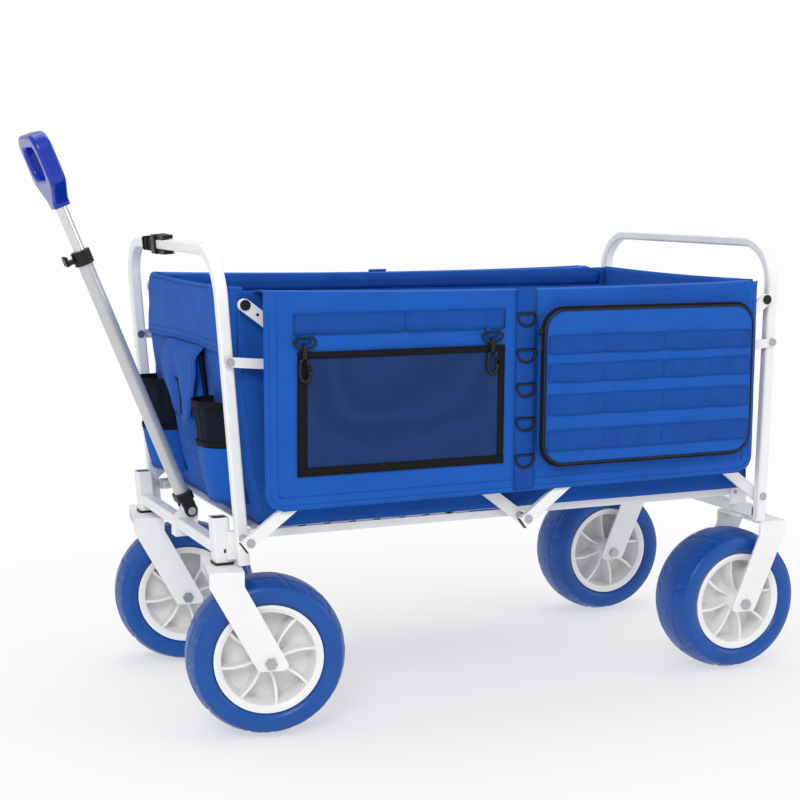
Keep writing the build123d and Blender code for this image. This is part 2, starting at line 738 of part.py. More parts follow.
def tube_piece(start, end, outer, inner):
    with BuildSketch(HANDLE.offset(start)) as section:
        Circle(outer)
        Circle(inner, mode=Mode.SUBTRACT)
    extrude(section.sketch, amount=end - start)


def build_handle_tubes():
    with BuildPart() as handle_outer_tube:
        tube_piece(24, COLLAR_END - 14, OUTER_TUBE_R, OUTER_TUBE_R - 1.5)
    save(handle_outer_tube, "handle_outer_tube")
    with BuildPart() as handle_inner_tube:
        tube_piece(INNER_TUBE_START, GRIP_START + 12, INNER_TUBE_R, INNER_TUBE_R - 1.5)
        with BuildSketch(HANDLE.offset(INNER_TUBE_START)):
            with PolarLocations(INNER_TUBE_R + 0.6, 4):
                Circle(1.6)
        extrude(amount=GRIP_START - 4 - INNER_TUBE_START, mode=Mode.SUBTRACT)
    save(handle_inner_tube, "handle_inner_tube")


def build_handle_collar():
    """Clamp collar at the top of the outer tube, with a lug for its lever."""
    with BuildPart() as handle_collar:
        with BuildSketch(HANDLE.offset(COLLAR_START)):
            Circle(16.5)
        extrude(amount=COLLAR_END - COLLAR_START)
        fillet(handle_collar.edges().group_by(Axis(HANDLE.origin, HANDLE.z_dir))[-1], 1.5)
        with BuildSketch(LEVER_FACE):
            with Locations(LEVER_PIVOT):
                Circle(4)
                with Locations((4, 0)):
                    Rectangle(8, 8)
        extrude(amount=6, both=True)
        with BuildSketch(HANDLE.offset(COLLAR_START - 1)):
            Circle(OUTER_TUBE_R)
        extrude(amount=COLLAR_END - 14 - COLLAR_START + 1, mode=Mode.SUBTRACT)
        with BuildSketch(HANDLE.offset(COLLAR_START)):
            Circle(INNER_TUBE_R + 0.1)
        extrude(amount=60, mode=Mode.SUBTRACT)
    save(handle_collar, "handle_collar")


def build_collar_lever():
    """Lever with two ears that squeezes the collar."""
    with BuildPart() as collar_lever:
        with BuildSketch(LEVER_FACE):
            with Locations((LEVER_PIVOT[0] - 8, LEVER_PIVOT[1] + 4)):
                RectangleRounded(6, 17, 2)
        extrude(amount=10, both=True)
        for side in SIDES:
            with BuildSketch(LEVER_FACE.offset(side * 8.25)):
                with Locations(LEVER_PIVOT):
                    Circle(3.5)
                    with Locations((-3.5, 0)):
                        Rectangle(7, 7)
            extrude(amount=1.75, both=True)
    save(collar_lever, "collar_lever")


def build_grip():
    """Moulded loop grip: a neck that widens to a stirrup with a hand opening."""
    base = GRIP_START
    top = GRIP_START + GRIP_LONG
    wide = GRIP_HALF
    with BuildPart() as grip:
        with BuildSketch(GRIP_FACE.offset(-GRIP_THICK / 2)) as outline:
            with BuildLine():
                Polyline(
                    (-19, base), (19, base), (19, base + 8), (wide, base + 42),
                    (wide, top), (-wide, top), (-wide, base + 42), (-19, base + 8),
                    close=True,
                )
            make_face()
            fillet(outline.vertices().group_by(Axis.Y)[3], 32)
            fillet(outline.vertices().filter_by_position(Axis.Y, base + 41, base + 43), 24)
            fillet(outline.vertices().filter_by_position(Axis.Y, base + 7, base + 9), 12)
            with Locations((0, base + 79)):
                RectangleRounded(90, 56, 20, mode=Mode.SUBTRACT)
        extrude(amount=GRIP_THICK)
        rims = grip.faces().filter_by(GRIP_FACE).edges()
        low_edges = rims.group_by(Axis(HANDLE.origin, HANDLE.z_dir))[0]
        fillet(rims - low_edges, GRIP_ROUND)
        with BuildSketch(HANDLE.offset(base - 5)):
            Circle(INNER_TUBE_R)
        extrude(amount=17, mode=Mode.SUBTRACT)
    save(grip, "grip")


# ---------------------------------------------------------------- fabric
def build_side_panels():
    """Outside fabric panel on each side, with rounded lower corners."""
    with BuildPart() as side_panels:
        for side in SIDES:
            with BuildSketch(upright(side * PANEL_Y)) as outline:
                with BuildLine():
                    Polyline(
                        (PANEL_FRONT, RIM_Z),
                        (PANEL_REAR, RIM_Z),
                        (PANEL_REAR, PANEL_BOTTOM + 6),
                        (PANEL_FRONT + 4, PANEL_BOTTOM),
                        close=True,
                    )
                make_face()
                fillet(outline.vertices().group_by(Axis.Z)[0], 26)
            extrude(amount=-side * PANEL_THICK)
    save(side_panels, "side_panels")


def build_bin_liner():
    """Thin fabric walls and floor of the bin, with flanges over the links to the side panels."""
    with BuildPart() as bin_liner:
        for side in SIDES:
            with BuildSketch(upright(side * (BIN_HALF - BIN_SKIN))):
                with BuildLine():
                    Polyline(
                        (WALL_FOOT_X + 4, BIN_FLOOR),
                        (REAR_WALL_X - 0.5, BIN_FLOOR),
                        (REAR_WALL_X - 0.5, RIM_Z),
                        (WALL_TOP_X + 4, RIM_Z),
                        close=True,
                    )
                make_face()
            extrude(amount=-side * BIN_SKIN)
            with BuildSketch(Plane.XY.offset(RIM_Z - BIN_SKIN)):
                with Locations((MID_X - 12, side * (BIN_HALF + PANEL_Y - 4) / 2)):
                    Rectangle(920, PANEL_Y - BIN_HALF + 3)
            extrude(amount=BIN_SKIN)
        with BuildSketch(Plane.XY.offset(BIN_FLOOR)):
            with Locations(((WALL_FOOT_X + REAR_WALL_X) / 2 + 2, 0)):
                Rectangle(REAR_WALL_X - WALL_FOOT_X - 5, 2 * BIN_HALF)
        extrude(amount=BIN_SKIN)
    save(bin_liner, "bin_liner")


WALL_UP = Vector(WALL_TOP_X - WALL_FOOT_X, 0, RIM_Z - WALL_FOOT_Z).normalized()
FRONT_WALL = Plane(
    origin=(WALL_FOOT_X, 0, WALL_FOOT_Z), x_dir=(0, -1, 0), z_dir=Vector(0, -1, 0).cross(WALL_UP)
)
WALL_TALL = math.dist((WALL_TOP_X, RIM_Z), (WALL_FOOT_X, WALL_FOOT_Z))


def build_front_panel():
    with BuildPart() as front_panel:
        with BuildSketch(FRONT_WALL):
            with Locations((0, WALL_TALL / 2)):
                Rectangle(2 * FRONT_WALL_HALF, WALL_TALL)
        extrude(amount=-BIN_SKIN)
    save(front_panel, "front_panel")


def build_rear_panel():
    with BuildPart() as rear_panel:
        with BuildSketch(Plane.YZ.offset(REAR_WALL_X)):
            with Locations((0, (WALL_FOOT_Z + RIM_Z) / 2)):
                Rectangle(2 * BIN_HALF, RIM_Z - WALL_FOOT_Z)
        extrude(amount=BIN_SKIN)
    save(rear_panel, "rear_panel")


def cup_outline(inset):
    for side in SIDES:
        with Locations((CUP_X, side * CUP_Y)):
            Circle(CUP_R - inset)
            with Locations((20, 0)):
                Rectangle(40, 2 * (CUP_R - inset))


def build_cup_holders():
    """Two half-round pockets on the front wall, closed at the bottom."""
    with BuildPart() as cup_holders:
        with BuildSketch(Plane.XY.offset(CUP_FLOOR)):
            cup_outline(0)
        extrude(amount=CUP_TOP - CUP_FLOOR)
        with BuildSketch(Plane.XY.offset(CUP_FLOOR + 3)):
            cup_outline(2.5)
        extrude(amount=CUP_TOP - CUP_FLOOR, mode=Mode.SUBTRACT)
        with BuildSketch(FRONT_WALL.offset(0.1)):
            Rectangle(600, 1200)
        extrude(amount=-120, mode=Mode.SUBTRACT)
    save(cup_holders, "cup_holders")


def build_flap_pocket():
    """Padded pocket with a flap in the middle of the front wall."""
    with BuildPart() as flap_pocket:
        with BuildSketch(FRONT_WALL.offset(0.1)):
            with Locations((0, 212)):
                RectangleRounded(190, 132, 8)
        extrude(amount=13)
        outer = flap_pocket.faces().filter_by(FRONT_WALL).sort_by(Axis.X)[0]
        fillet(outer.edges(), 5)
    save(flap_pocket, "flap_pocket")


def build_zip_pockets():
    """Boxy zipped pocket on the rear half of each side panel."""
    with BuildPart() as zip_pockets:
        for side in SIDES:
            with BuildSketch(upright(side * (PANEL_Y + PANEL_THICK))):
                with Locations((POCKET_X, POCKET_Z)):
                    RectangleRounded(425, 267, 36)
            extrude(amount=-side * 25)
        outer = zip_pockets.faces().filter_by(Axis.Y).group_by(Axis.Y)
        fillet(outer[0].edges() + outer[-1].edges(), 8)
        for side in SIDES:
            with BuildSketch(upright(side * (PANEL_Y + PANEL_THICK))):
                with Locations((POCKET_X, POCKET_Z)):
                    RectangleRounded(415, 257, 31)
            extrude(amount=-side * 22, mode=Mode.SUBTRACT)
    save(zip_pockets, "zip_pockets")


# ---------------------------------------------------------------- fittings
RING_LEVELS = (676.0, 615.0, 557.0, 499.0, 436.0)
FITTING_Y = PANEL_Y + PANEL_THICK + 1.5
HOOK_Z = 648.0


def build_d_rings():
    """Row of flat D-shaped rings down the middle of each side panel."""
    with BuildPart() as d_rings:
        for side in SIDES:
            with BuildSketch(upright(side * FITTING_Y)):
                for level in RING_LEVELS:
                    with Locations((FOLD_RINGS_X, level)):
                        RectangleRounded(38, 26, 12)
                        RectangleRounded(30, 18, 8, mode=Mode.SUBTRACT)
            extrude(amount=-side * 4)
    save(d_rings, "d_rings")


def build_snap_hooks(x, name):
    """Trigger hook hanging from a loop, one on each side panel."""
    with BuildPart() as snap_hook:
        for side in SIDES:
            with BuildSketch(upright(side * FITTING_Y)):
                with Locations((x, HOOK_Z)):
                    RectangleRounded(40, 20, 9)
                    RectangleRounded(33, 13, 6, mode=Mode.SUBTRACT)
                with Locations((x, HOOK_Z - 16)):
                    RectangleRounded(9, 16, 3)
                with Locations((x, HOOK_Z - 42)):
                    SlotOverall(46, 22, rotation=90)
                    SlotOverall(36, 12, rotation=90, mode=Mode.SUBTRACT)
            extrude(amount=-side * 5)
    save(snap_hook, name)


def build_zip_pulls():
    with BuildPart() as zip_pulls:
        for side in SIDES:
            with BuildSketch(upright(side * (PANEL_Y + PANEL_THICK + 1))):
                with Locations((MID_X + 7.7, 640)):
                    RectangleRounded(6, 34, 2.5)
            extrude(amount=-side * 3)
    save(zip_pulls, "zip_pulls")


BAR_Z = FRONT_TOP - TUBE_WIDE / 2
BAR_FACE = Plane(
    origin=(leg_x(BAR_Z, FRONT_X, FRONT_LEAN), 0, BAR_Z),
    x_dir=(math.cos(math.radians(FRONT_LEAN)), 0, math.sin(math.radians(FRONT_LEAN))),
    z_dir=(0, 1, 0),
)


def build_buckle_strap():
    """Webbing loop round the front hoop's top bar."""
    with BuildPart() as buckle_strap:
        for start, reach, thick in ((75, 57, 5), (77, 4, 8), (101, 4, 8), (126, 4, 8)):
            with BuildSketch(BAR_FACE.offset(start)):
                RectangleRounded(TUBE_LONG + thick, TUBE_WIDE + thick, 4)
                RectangleRounded(TUBE_LONG + 0.4, TUBE_WIDE + 0.4, 4, mode=Mode.SUBTRACT)
            extrude(amount=reach)
    save(buckle_strap, "buckle_strap")


def build_strap_clip():
    """Side-release clip whose two prongs run above and below the top bar."""
    with BuildPart() as strap_clip:
        with BuildSketch(BAR_FACE.offset(54)):
            RectangleRounded(TUBE_LONG + 8, TUBE_WIDE + 17, 4)
            RectangleRounded(TUBE_LONG + 0.8, TUBE_WIDE + 0.8, 4, mode=Mode.SUBTRACT)
        extrude(amount=20.8)
        with BuildSketch(BAR_FACE.offset(12)):
            with Locations((0, 13), (0, -13)):
                Rectangle(18, 7)
        extrude(amount=42)
    save(strap_clip, "strap_clip")


# ---------------------------------------------------------------- everything
os.makedirs("parts", exist_ok=True)

build_front_hoop()
build_front_crossbar()
build_caster_sleeves()
build_caster_bushes()
build_caster_washers()
build_handle_bracket()
build_front_leg_plugs()
build_front_bolts()
build_buckle_strap()
build_strap_clip()

build_front_fork(-1, "front_fork_left")
build_front_fork(1, "front_fork_right")
for place in wheel_places():
    build_rim(place)
    build_tyre(place)
    if place[0].startswith("front"):
        build_front_axle(place)
build_rear_forks()
build_rear_axles()

build_rear_hoop()
build_rear_crossbar()
build_rear_bolts()

free_front = shortened(MIDDLE_LOW, FRONT_FREE, FREE_CUT)
free_rear = shortened(MIDDLE_LOW, REAR_FREE, REAR_CUT)
front_cross = (MID_X - HALF_SPAN / 2, CROSS_Z)
rear_cross = (MID_X + HALF_SPAN / 2, CROSS_Z)
build_link("link_a", MIDDLE_LOW, free_front, INNER_LAYER, [MIDDLE_LOW, front_cross])
build_link("link_b", MIDDLE_LOW, free_rear, OUTER_LAYER, [MIDDLE_LOW, rear_cross])
build_link("link_c", FRONT_LOW, MIDDLE_TOP, OUTER_LAYER, [FRONT_LOW, front_cross, MIDDLE_TOP])
build_link("link_d", REAR_LOW, MIDDLE_TOP, INNER_LAYER, [REAR_LOW, rear_cross, MIDDLE_TOP])
build_link_caps("caps_a", MIDDLE_LOW, free_front, INNER_LAYER)
build_link_caps("caps_b", MIDDLE_LOW, free_rear, OUTER_LAYER)
build_link_caps("caps_c", FRONT_LOW, MIDDLE_TOP, OUTER_LAYER)
build_link_caps("caps_d", REAR_LOW, MIDDLE_TOP, INNER_LAYER)
low_middle = (*MIDDLE_LOW, INNER_LAYER, OUTER_LAYER)
high_middle = (*MIDDLE_TOP, INNER_LAYER, OUTER_LAYER)
build_cross_pins("pins_a", [(*front_cross, INNER_LAYER, OUTER_LAYER), low_middle])
build_cross_pins("pins_d", [(*rear_cross, INNER_LAYER, OUTER_LAYER), high_middle])
build_ties()

build_floor_half("floor_front", FRONT_X + FLOOR_HINGE, 1, FRONT_RAIL_Y)
build_floor_half("floor_rear", REAR_X - FLOOR_HINGE, -1, REAR_RAIL_Y)
build_slats("slats_front", FRONT_X + FLOOR_HINGE, 1, FRONT_RAIL_Y)
build_slats("slats_rear", REAR_X - FLOOR_HINGE, -1, REAR_RAIL_Y)

build_hinge_cap()
build_handle_tubes()
build_handle_collar()
build_collar_lever()
build_grip()

build_side_panels()
build_bin_liner()
build_front_panel()
build_rear_panel()
build_cup_holders()
build_flap_pocket()
build_zip_pockets()
build_d_rings()
build_snap_hooks(MID_X - 413.0, "snap_hook_front")
build_snap_hooks(MID_X - 80.0, "snap_hook_rear")
build_zip_pulls()
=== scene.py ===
"""Looks of the folding beach cart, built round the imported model. Metres, +X to the rear."""
import json
import math
import bmesh
import bpy
from mathutils import Matrix, Vector, noise

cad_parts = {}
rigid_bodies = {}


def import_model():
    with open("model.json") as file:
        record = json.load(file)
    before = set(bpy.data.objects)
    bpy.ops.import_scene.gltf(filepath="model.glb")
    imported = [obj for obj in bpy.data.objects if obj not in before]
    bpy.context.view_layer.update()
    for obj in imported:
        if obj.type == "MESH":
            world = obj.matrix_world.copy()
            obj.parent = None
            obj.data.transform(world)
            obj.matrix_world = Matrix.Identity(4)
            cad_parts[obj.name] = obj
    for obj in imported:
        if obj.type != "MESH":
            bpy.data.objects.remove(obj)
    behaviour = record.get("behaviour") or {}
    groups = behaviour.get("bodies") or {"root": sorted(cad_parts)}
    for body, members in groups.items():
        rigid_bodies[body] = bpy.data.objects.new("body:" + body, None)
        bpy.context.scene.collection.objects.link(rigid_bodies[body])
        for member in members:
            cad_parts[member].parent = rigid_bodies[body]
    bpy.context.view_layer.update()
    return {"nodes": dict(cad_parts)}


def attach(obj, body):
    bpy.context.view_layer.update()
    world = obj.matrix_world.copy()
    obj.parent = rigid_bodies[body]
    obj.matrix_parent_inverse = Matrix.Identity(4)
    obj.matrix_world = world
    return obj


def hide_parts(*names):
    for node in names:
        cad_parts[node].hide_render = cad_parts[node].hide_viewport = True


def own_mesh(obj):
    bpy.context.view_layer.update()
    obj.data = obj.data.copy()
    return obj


for leftover in list(bpy.data.objects):
    bpy.data.objects.remove(leftover)
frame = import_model()

MM = 0.001
MID = 92.503             # middle of the scissor frame in the model's x, millimetres
FRONT = MID - 500.0      # lower pivots of the front hoop
REAR = MID + 500.0       # lower pivots of the rear hoop
STEM_X = FRONT - 23      # caster stems
WHEEL_Y = 229.5          # middle of the wheels and casters, either side
WHEEL_Z = 131.5          # height of the axles
HALF_WAVE = 520.0        # of the front wall's belly and of the dip in its rim
SIDES = (-1, 1)
SIDE_NAMES = ((-1, "left"), (1, "right"))
SQUARE = ((-1, -1), (1, -1), (1, 1), (-1, 1))


# ------------------------------------------------------------------ camera and light
def make_camera():
    yaw, pitch, roll = 0.424, 0.131, 0.007
    ahead = Vector((math.sin(yaw) * math.cos(pitch), math.cos(yaw) * math.cos(pitch), -math.sin(pitch)))
    right = Vector((math.cos(yaw), -math.sin(yaw), 0))
    up = right.cross(ahead)
    right, up = (math.cos(roll) * right + math.sin(roll) * up,
                 math.cos(roll) * up - math.sin(roll) * right)
    turn = Matrix((right, up, -ahead)).transposed().to_4x4()
    data = bpy.data.cameras.new("camera")
    data.lens = 71.95
    data.sensor_width = 36.0
    camera = bpy.data.objects.new("camera", data)
    camera.matrix_world = Matrix.Translation(Vector((-1306.6 + MID, -2664.0, 888.4)) * MM) @ turn
    bpy.context.scene.collection.objects.link(camera)
    bpy.context.scene.camera = camera


def area_light(name, place, target, size, watts):
    data = bpy.data.lights.new(name, "AREA")
    data.size = size
    data.energy = watts
    lamp = bpy.data.objects.new(name, data)
    lamp.location = place
    lamp.rotation_euler = (Vector(target) - Vector(place)).to_track_quat("-Z", "Y").to_euler()
    bpy.context.scene.collection.objects.link(lamp)


def make_studio():
    world = bpy.data.worlds.new("studio")
    bpy.context.scene.world = world
    world.use_nodes = True
    tree = world.node_tree
    backdrop = tree.nodes["Background"]
    backdrop.inputs["Color"].default_value = (1.0, 1.0, 1.0, 1.0)
    seen = tree.nodes.new("ShaderNodeLightPath").outputs["Is Camera Ray"]
    tree.links.new(spread(tree, seen, 0.62, 0.98), backdrop.inputs["Strength"])
    bpy.ops.mesh.primitive_plane_add(size=60.0, location=(0, 0, -0.001))
    floor = bpy.context.object
    floor.name = "floor"
    paint, tree, shader, where = new_material("floor", (0.9, 0.9, 0.9), 0.8)
    shader.inputs["Specular IOR Level"].default_value = 0.1
    glow = tree.nodes.new("ShaderNodeEmission")
    glow.inputs["Strength"].default_value = 0.98
    fade = tree.nodes.new("ShaderNodeTexGradient")
    fade.gradient_type = "SPHERICAL"
    near = tree.nodes.new("ShaderNodeMapping")
    near.inputs["Scale"].default_value = (0.55, 0.8, 1.0)
    tree.links.new(where, near.inputs["Vector"])
    tree.links.new(near.outputs["Vector"], fade.inputs["Vector"])
    share = maths(tree, "SUBTRACT", 1.0, maths(tree, "MULTIPLY", fade.outputs["Fac"], 0.62))
    mixed = tree.nodes.new("ShaderNodeMixShader")
    tree.links.new(share, mixed.inputs["Fac"])
    tree.links.new(shader.outputs["BSDF"], mixed.inputs[1])
    tree.links.new(glow.outputs["Emission"], mixed.inputs[2])
    tree.links.new(mixed.outputs["Shader"], tree.nodes["Material Output"].inputs["Surface"])
    floor.data.materials.append(paint)
    area_light("key", (-2.2, -3.4, 3.0), (0, 0, 0.5), 1.6, 78)
    area_light("fill", (3.4, -2.4, 2.0), (0, 0, 0.4), 2.2, 26)
    area_light("top", (0, 0.8, 3.4), (0, 0, 0.4), 2.4, 42)
    bpy.context.scene.view_settings.view_transform = "Standard"


# ------------------------------------------------------------------ materials
def new_material(name, colour, rough, metal=0.0):
    paint = bpy.data.materials.new(name)
    paint.use_nodes = True
    tree = paint.node_tree
    shader = tree.nodes["Principled BSDF"]
    shader.inputs["Base Color"].default_value = (*colour, 1)
    shader.inputs["Roughness"].default_value = rough
    shader.inputs["Metallic"].default_value = metal
    where = tree.nodes.new("ShaderNodeTexCoord")
    return paint, tree, shader, where.outputs["Object"]


def noise_node(tree, where, scale, detail=3.0, rough=0.5):
    node = tree.nodes.new("ShaderNodeTexNoise")
    node.inputs["Scale"].default_value = scale
    node.inputs["Detail"].default_value = detail
    node.inputs["Roughness"].default_value = rough
    tree.links.new(where, node.inputs["Vector"])
    return node.outputs["Fac"]


def ramp(tree, value, low, high, dark, light):
    node = tree.nodes.new("ShaderNodeValToRGB")
    node.color_ramp.elements[0].position = low
    node.color_ramp.elements[1].position = high
    node.color_ramp.elements[0].color = (*dark, 1)
    node.color_ramp.elements[1].color = (*light, 1)
    tree.links.new(value, node.inputs["Fac"])
    return node.outputs["Color"]


def spread(tree, value, low, high):
    """Map a 0 to 1 value onto a range."""
    node = tree.nodes.new("ShaderNodeMapRange")
    node.inputs["To Min"].default_value = low
    node.inputs["To Max"].default_value = high
    tree.links.new(value, node.inputs["Value"])
    return node.outputs["Result"]


def maths(tree, kind, first, second):
    node = tree.nodes.new("ShaderNodeMath")
    node.operation = kind
    for index, value in enumerate((first, second)):
        if isinstance(value, (int, float)):
            node.inputs[index].default_value = value
        else:
            tree.links.new(value, node.inputs[index])
    return node.outputs["Value"]


def bump(tree, shader, height, depth, strength=1.0):
    node = tree.nodes.new("ShaderNodeBump")
    node.inputs["Distance"].default_value = depth
    node.inputs["Strength"].default_value = strength
    tree.links.new(height, node.inputs["Height"])
    tree.links.new(node.outputs["Normal"], shader.inputs["Normal"])


def threads(tree, where, axis, period):
    node = tree.nodes.new("ShaderNodeTexWave")
    node.bands_direction = axis
    node.inputs["Scale"].default_value = 0.314 / period
    node.inputs["Distortion"].default_value = 0.6
    node.inputs["Detail"].default_value = 1.0
    tree.links.new(where, node.inputs["Vector"])
    return node.outputs["Fac"]


def shade(colour, factor):
    return tuple(min(1.0, part * factor) for part in colour)


def cloth_material(name, colour, period=0.0013, rough=0.84, blotch=0.10, sheen=0.05):
    """Plain-woven cloth: two crossing sets of threads, soft blotches and a little sheen."""
    paint, tree, shader, where = new_material(name, colour, rough)
    blotches = noise_node(tree, where, 9.0, 4.0, 0.6)
    fine = noise_node(tree, where, 420.0, 2.0, 0.5)
    mixed = maths(tree, "ADD", maths(tree, "MULTIPLY", blotches, 0.75),
                  maths(tree, "MULTIPLY", fine, 0.25))
    tint = ramp(tree, mixed, 0.32, 0.68, shade(colour, 1 - blotch), shade(colour, 1 + blotch))
    tree.links.new(tint, shader.inputs["Base Color"])
    weft = maths(tree, "ADD", threads(tree, where, "X", period), threads(tree, where, "Y", period))
    weave = maths(tree, "MULTIPLY", weft, threads(tree, where, "Z", period))
    height = maths(tree, "ADD", maths(tree, "MULTIPLY", weave, 0.5),
                   maths(tree, "MULTIPLY", fine, 0.3))
    bump(tree, shader, height, 0.0004, 0.5)
    tree.links.new(spread(tree, blotches, rough - 0.08, min(1.0, rough + 0.08)),
                   shader.inputs["Roughness"])
    shader.inputs["Sheen Weight"].default_value = sheen
    shader.inputs["Sheen Roughness"].default_value = 0.5
    shader.inputs["Specular IOR Level"].default_value = 0.14
    return paint


def webbing_material(name, colour):
    """Ribbed narrow webbing with a coarse herringbone."""
    paint, tree, shader, where = new_material(name, colour, 0.7)
    ribs = maths(tree, "MULTIPLY", threads(tree, where, "Z", 0.0022), threads(tree, where, "X", 0.0016))
    soil = noise_node(tree, where, 30.0, 4.0, 0.6)
    tree.links.new(ramp(tree, soil, 0.3, 0.7, shade(colour, 0.86), shade(colour, 1.1)),
                   shader.inputs["Base Color"])
    bump(tree, shader, ribs, 0.0006, 0.6)
    tree.links.new(spread(tree, soil, 0.58, 0.8), shader.inputs["Roughness"])
    shader.inputs["Specular IOR Level"].default_value = 0.16
    return paint


def mesh_material(name, colour):
    """Fine open netting backed by cloth: rows of small dark holes."""
    paint, tree, shader, where = new_material(name, colour, 0.62)
    cells = tree.nodes.new("ShaderNodeTexVoronoi")
    cells.inputs["Scale"].default_value = 520.0
    cells.inputs["Randomness"].default_value = 0.15
    tree.links.new(where, cells.inputs["Vector"])
    hole = cells.outputs["Distance"]
    tree.links.new(ramp(tree, hole, 0.2, 0.55, shade(colour, 0.72), shade(colour, 1.22)),
                   shader.inputs["Base Color"])
    bump(tree, shader, hole, 0.0004, 0.5)
    tree.links.new(spread(tree, noise_node(tree, where, 60.0), 0.6, 0.8), shader.inputs["Roughness"])
    shader.inputs["Specular IOR Level"].default_value = 0.14
    return paint


def coated_material(name, colour, rough, orange=0.15, metal=0.0, wear=0.06, coat=0.0, shine=0.5):
    """Powder coat or moulded plastic: faint orange peel, dust and rubbed patches."""
    paint, tree, shader, where = new_material(name, colour, rough, metal)
    cloud = noise_node(tree, where, 14.0, 5.0, 0.65)
    peel = noise_node(tree, where, 900.0, 2.0, 0.5)
    tree.links.new(ramp(tree, cloud, 0.3, 0.75, shade(colour, 1 - wear), shade(colour, 1 + wear / 2)),
                   shader.inputs["Base Color"])
    tree.links.new(spread(tree, cloud, max(0.05, rough - 0.08), rough + 0.12), shader.inputs["Roughness"])
    bump(tree, shader, peel, 0.0002, orange)
    shader.inputs["Specular IOR Level"].default_value = shine
    shader.inputs["Coat Weight"].default_value = coat
    shader.inputs["Coat Roughness"].default_value = 0.12
    return paint


def metal_material(name, colour, rough):
    """Drawn or plated metal with fine streaks."""
    paint, tree, shader, where = new_material(name, colour, rough, 1.0)
    streaks = noise_node(tree, where, 260.0, 3.0, 0.7)
    tree.links.new(ramp(tree, streaks, 0.3, 0.7, shade(colour, 0.88), shade(colour, 1.08)),
                   shader.inputs["Base Color"])
    tree.links.new(spread(tree, streaks, rough - 0.06, rough + 0.12), shader.inputs["Roughness"])
    bump(tree, shader, streaks, 0.0001, 0.15)
    return paint


MATERIALS = {
    "canvas": cloth_material("blue_canvas", (0.010, 0.098, 0.450)),
    "lining": cloth_material("blue_lining", (0.008, 0.082, 0.385), 0.0012, 0.86, 0.12),
    "webbing": webbing_material("blue_webbing", (0.006, 0.070, 0.350)),
    "black_web": webbing_material("black_webbing", (0.005, 0.005, 0.007)),
    "netting": mesh_material("navy_netting", (0.009, 0.031, 0.120)),
    "dark_net": mesh_material("dark_netting", (0.004, 0.007, 0.018)),
    "thread": cloth_material("blue_thread", (0.006, 0.055, 0.270), 0.0008, 0.7, 0.05),
    "white": coated_material("white_powder_coat", (0.86, 0.865, 0.875), 0.34, 0.2),
    "handle": coated_material("silver_white_coat", (0.56, 0.57, 0.585), 0.30, 0.1, 0.35),
    "hub": coated_material("white_hub_plastic", (0.88, 0.88, 0.88), 0.38, 0.25),
    "tyre": coated_material("blue_tyre_pvc", (0.001, 0.074, 0.350), 0.36, 0.25, 0.0, 0.12, 0.12, 0.35),
    "grip": coated_material("blue_grip_plastic", (0.001, 0.026, 0.370), 0.24, 0.15, 0.0, 0.08, 0.3, 0.35),
    "black": coated_material("black_plastic", (0.006, 0.006, 0.008), 0.42, 0.3, 0.0, 0.3, 0.0, 0.35),
    "zinc": metal_material("zinc_plate", (0.47, 0.48, 0.50), 0.28),
    "silver": metal_material("drawn_aluminium", (0.72, 0.73, 0.75), 0.22),
}


# ------------------------------------------------------------------ mesh helpers, all in millimetres
def piece(name, points, faces, look, smooth=True):
    mesh = bpy.data.meshes.new(name)
    mesh.from_pydata([Vector(point) * MM for point in points], [], faces)
    mesh.materials.append(MATERIALS[look])
    work = bmesh.new()
    work.from_mesh(mesh)
    bmesh.ops.recalc_face_normals(work, faces=work.faces)
    work.to_mesh(mesh)
    work.free()
    mesh.polygons.foreach_set("use_smooth", [smooth] * len(mesh.polygons))
    thing = bpy.data.objects.new(name, mesh)
    bpy.context.scene.collection.objects.link(thing)
    return thing


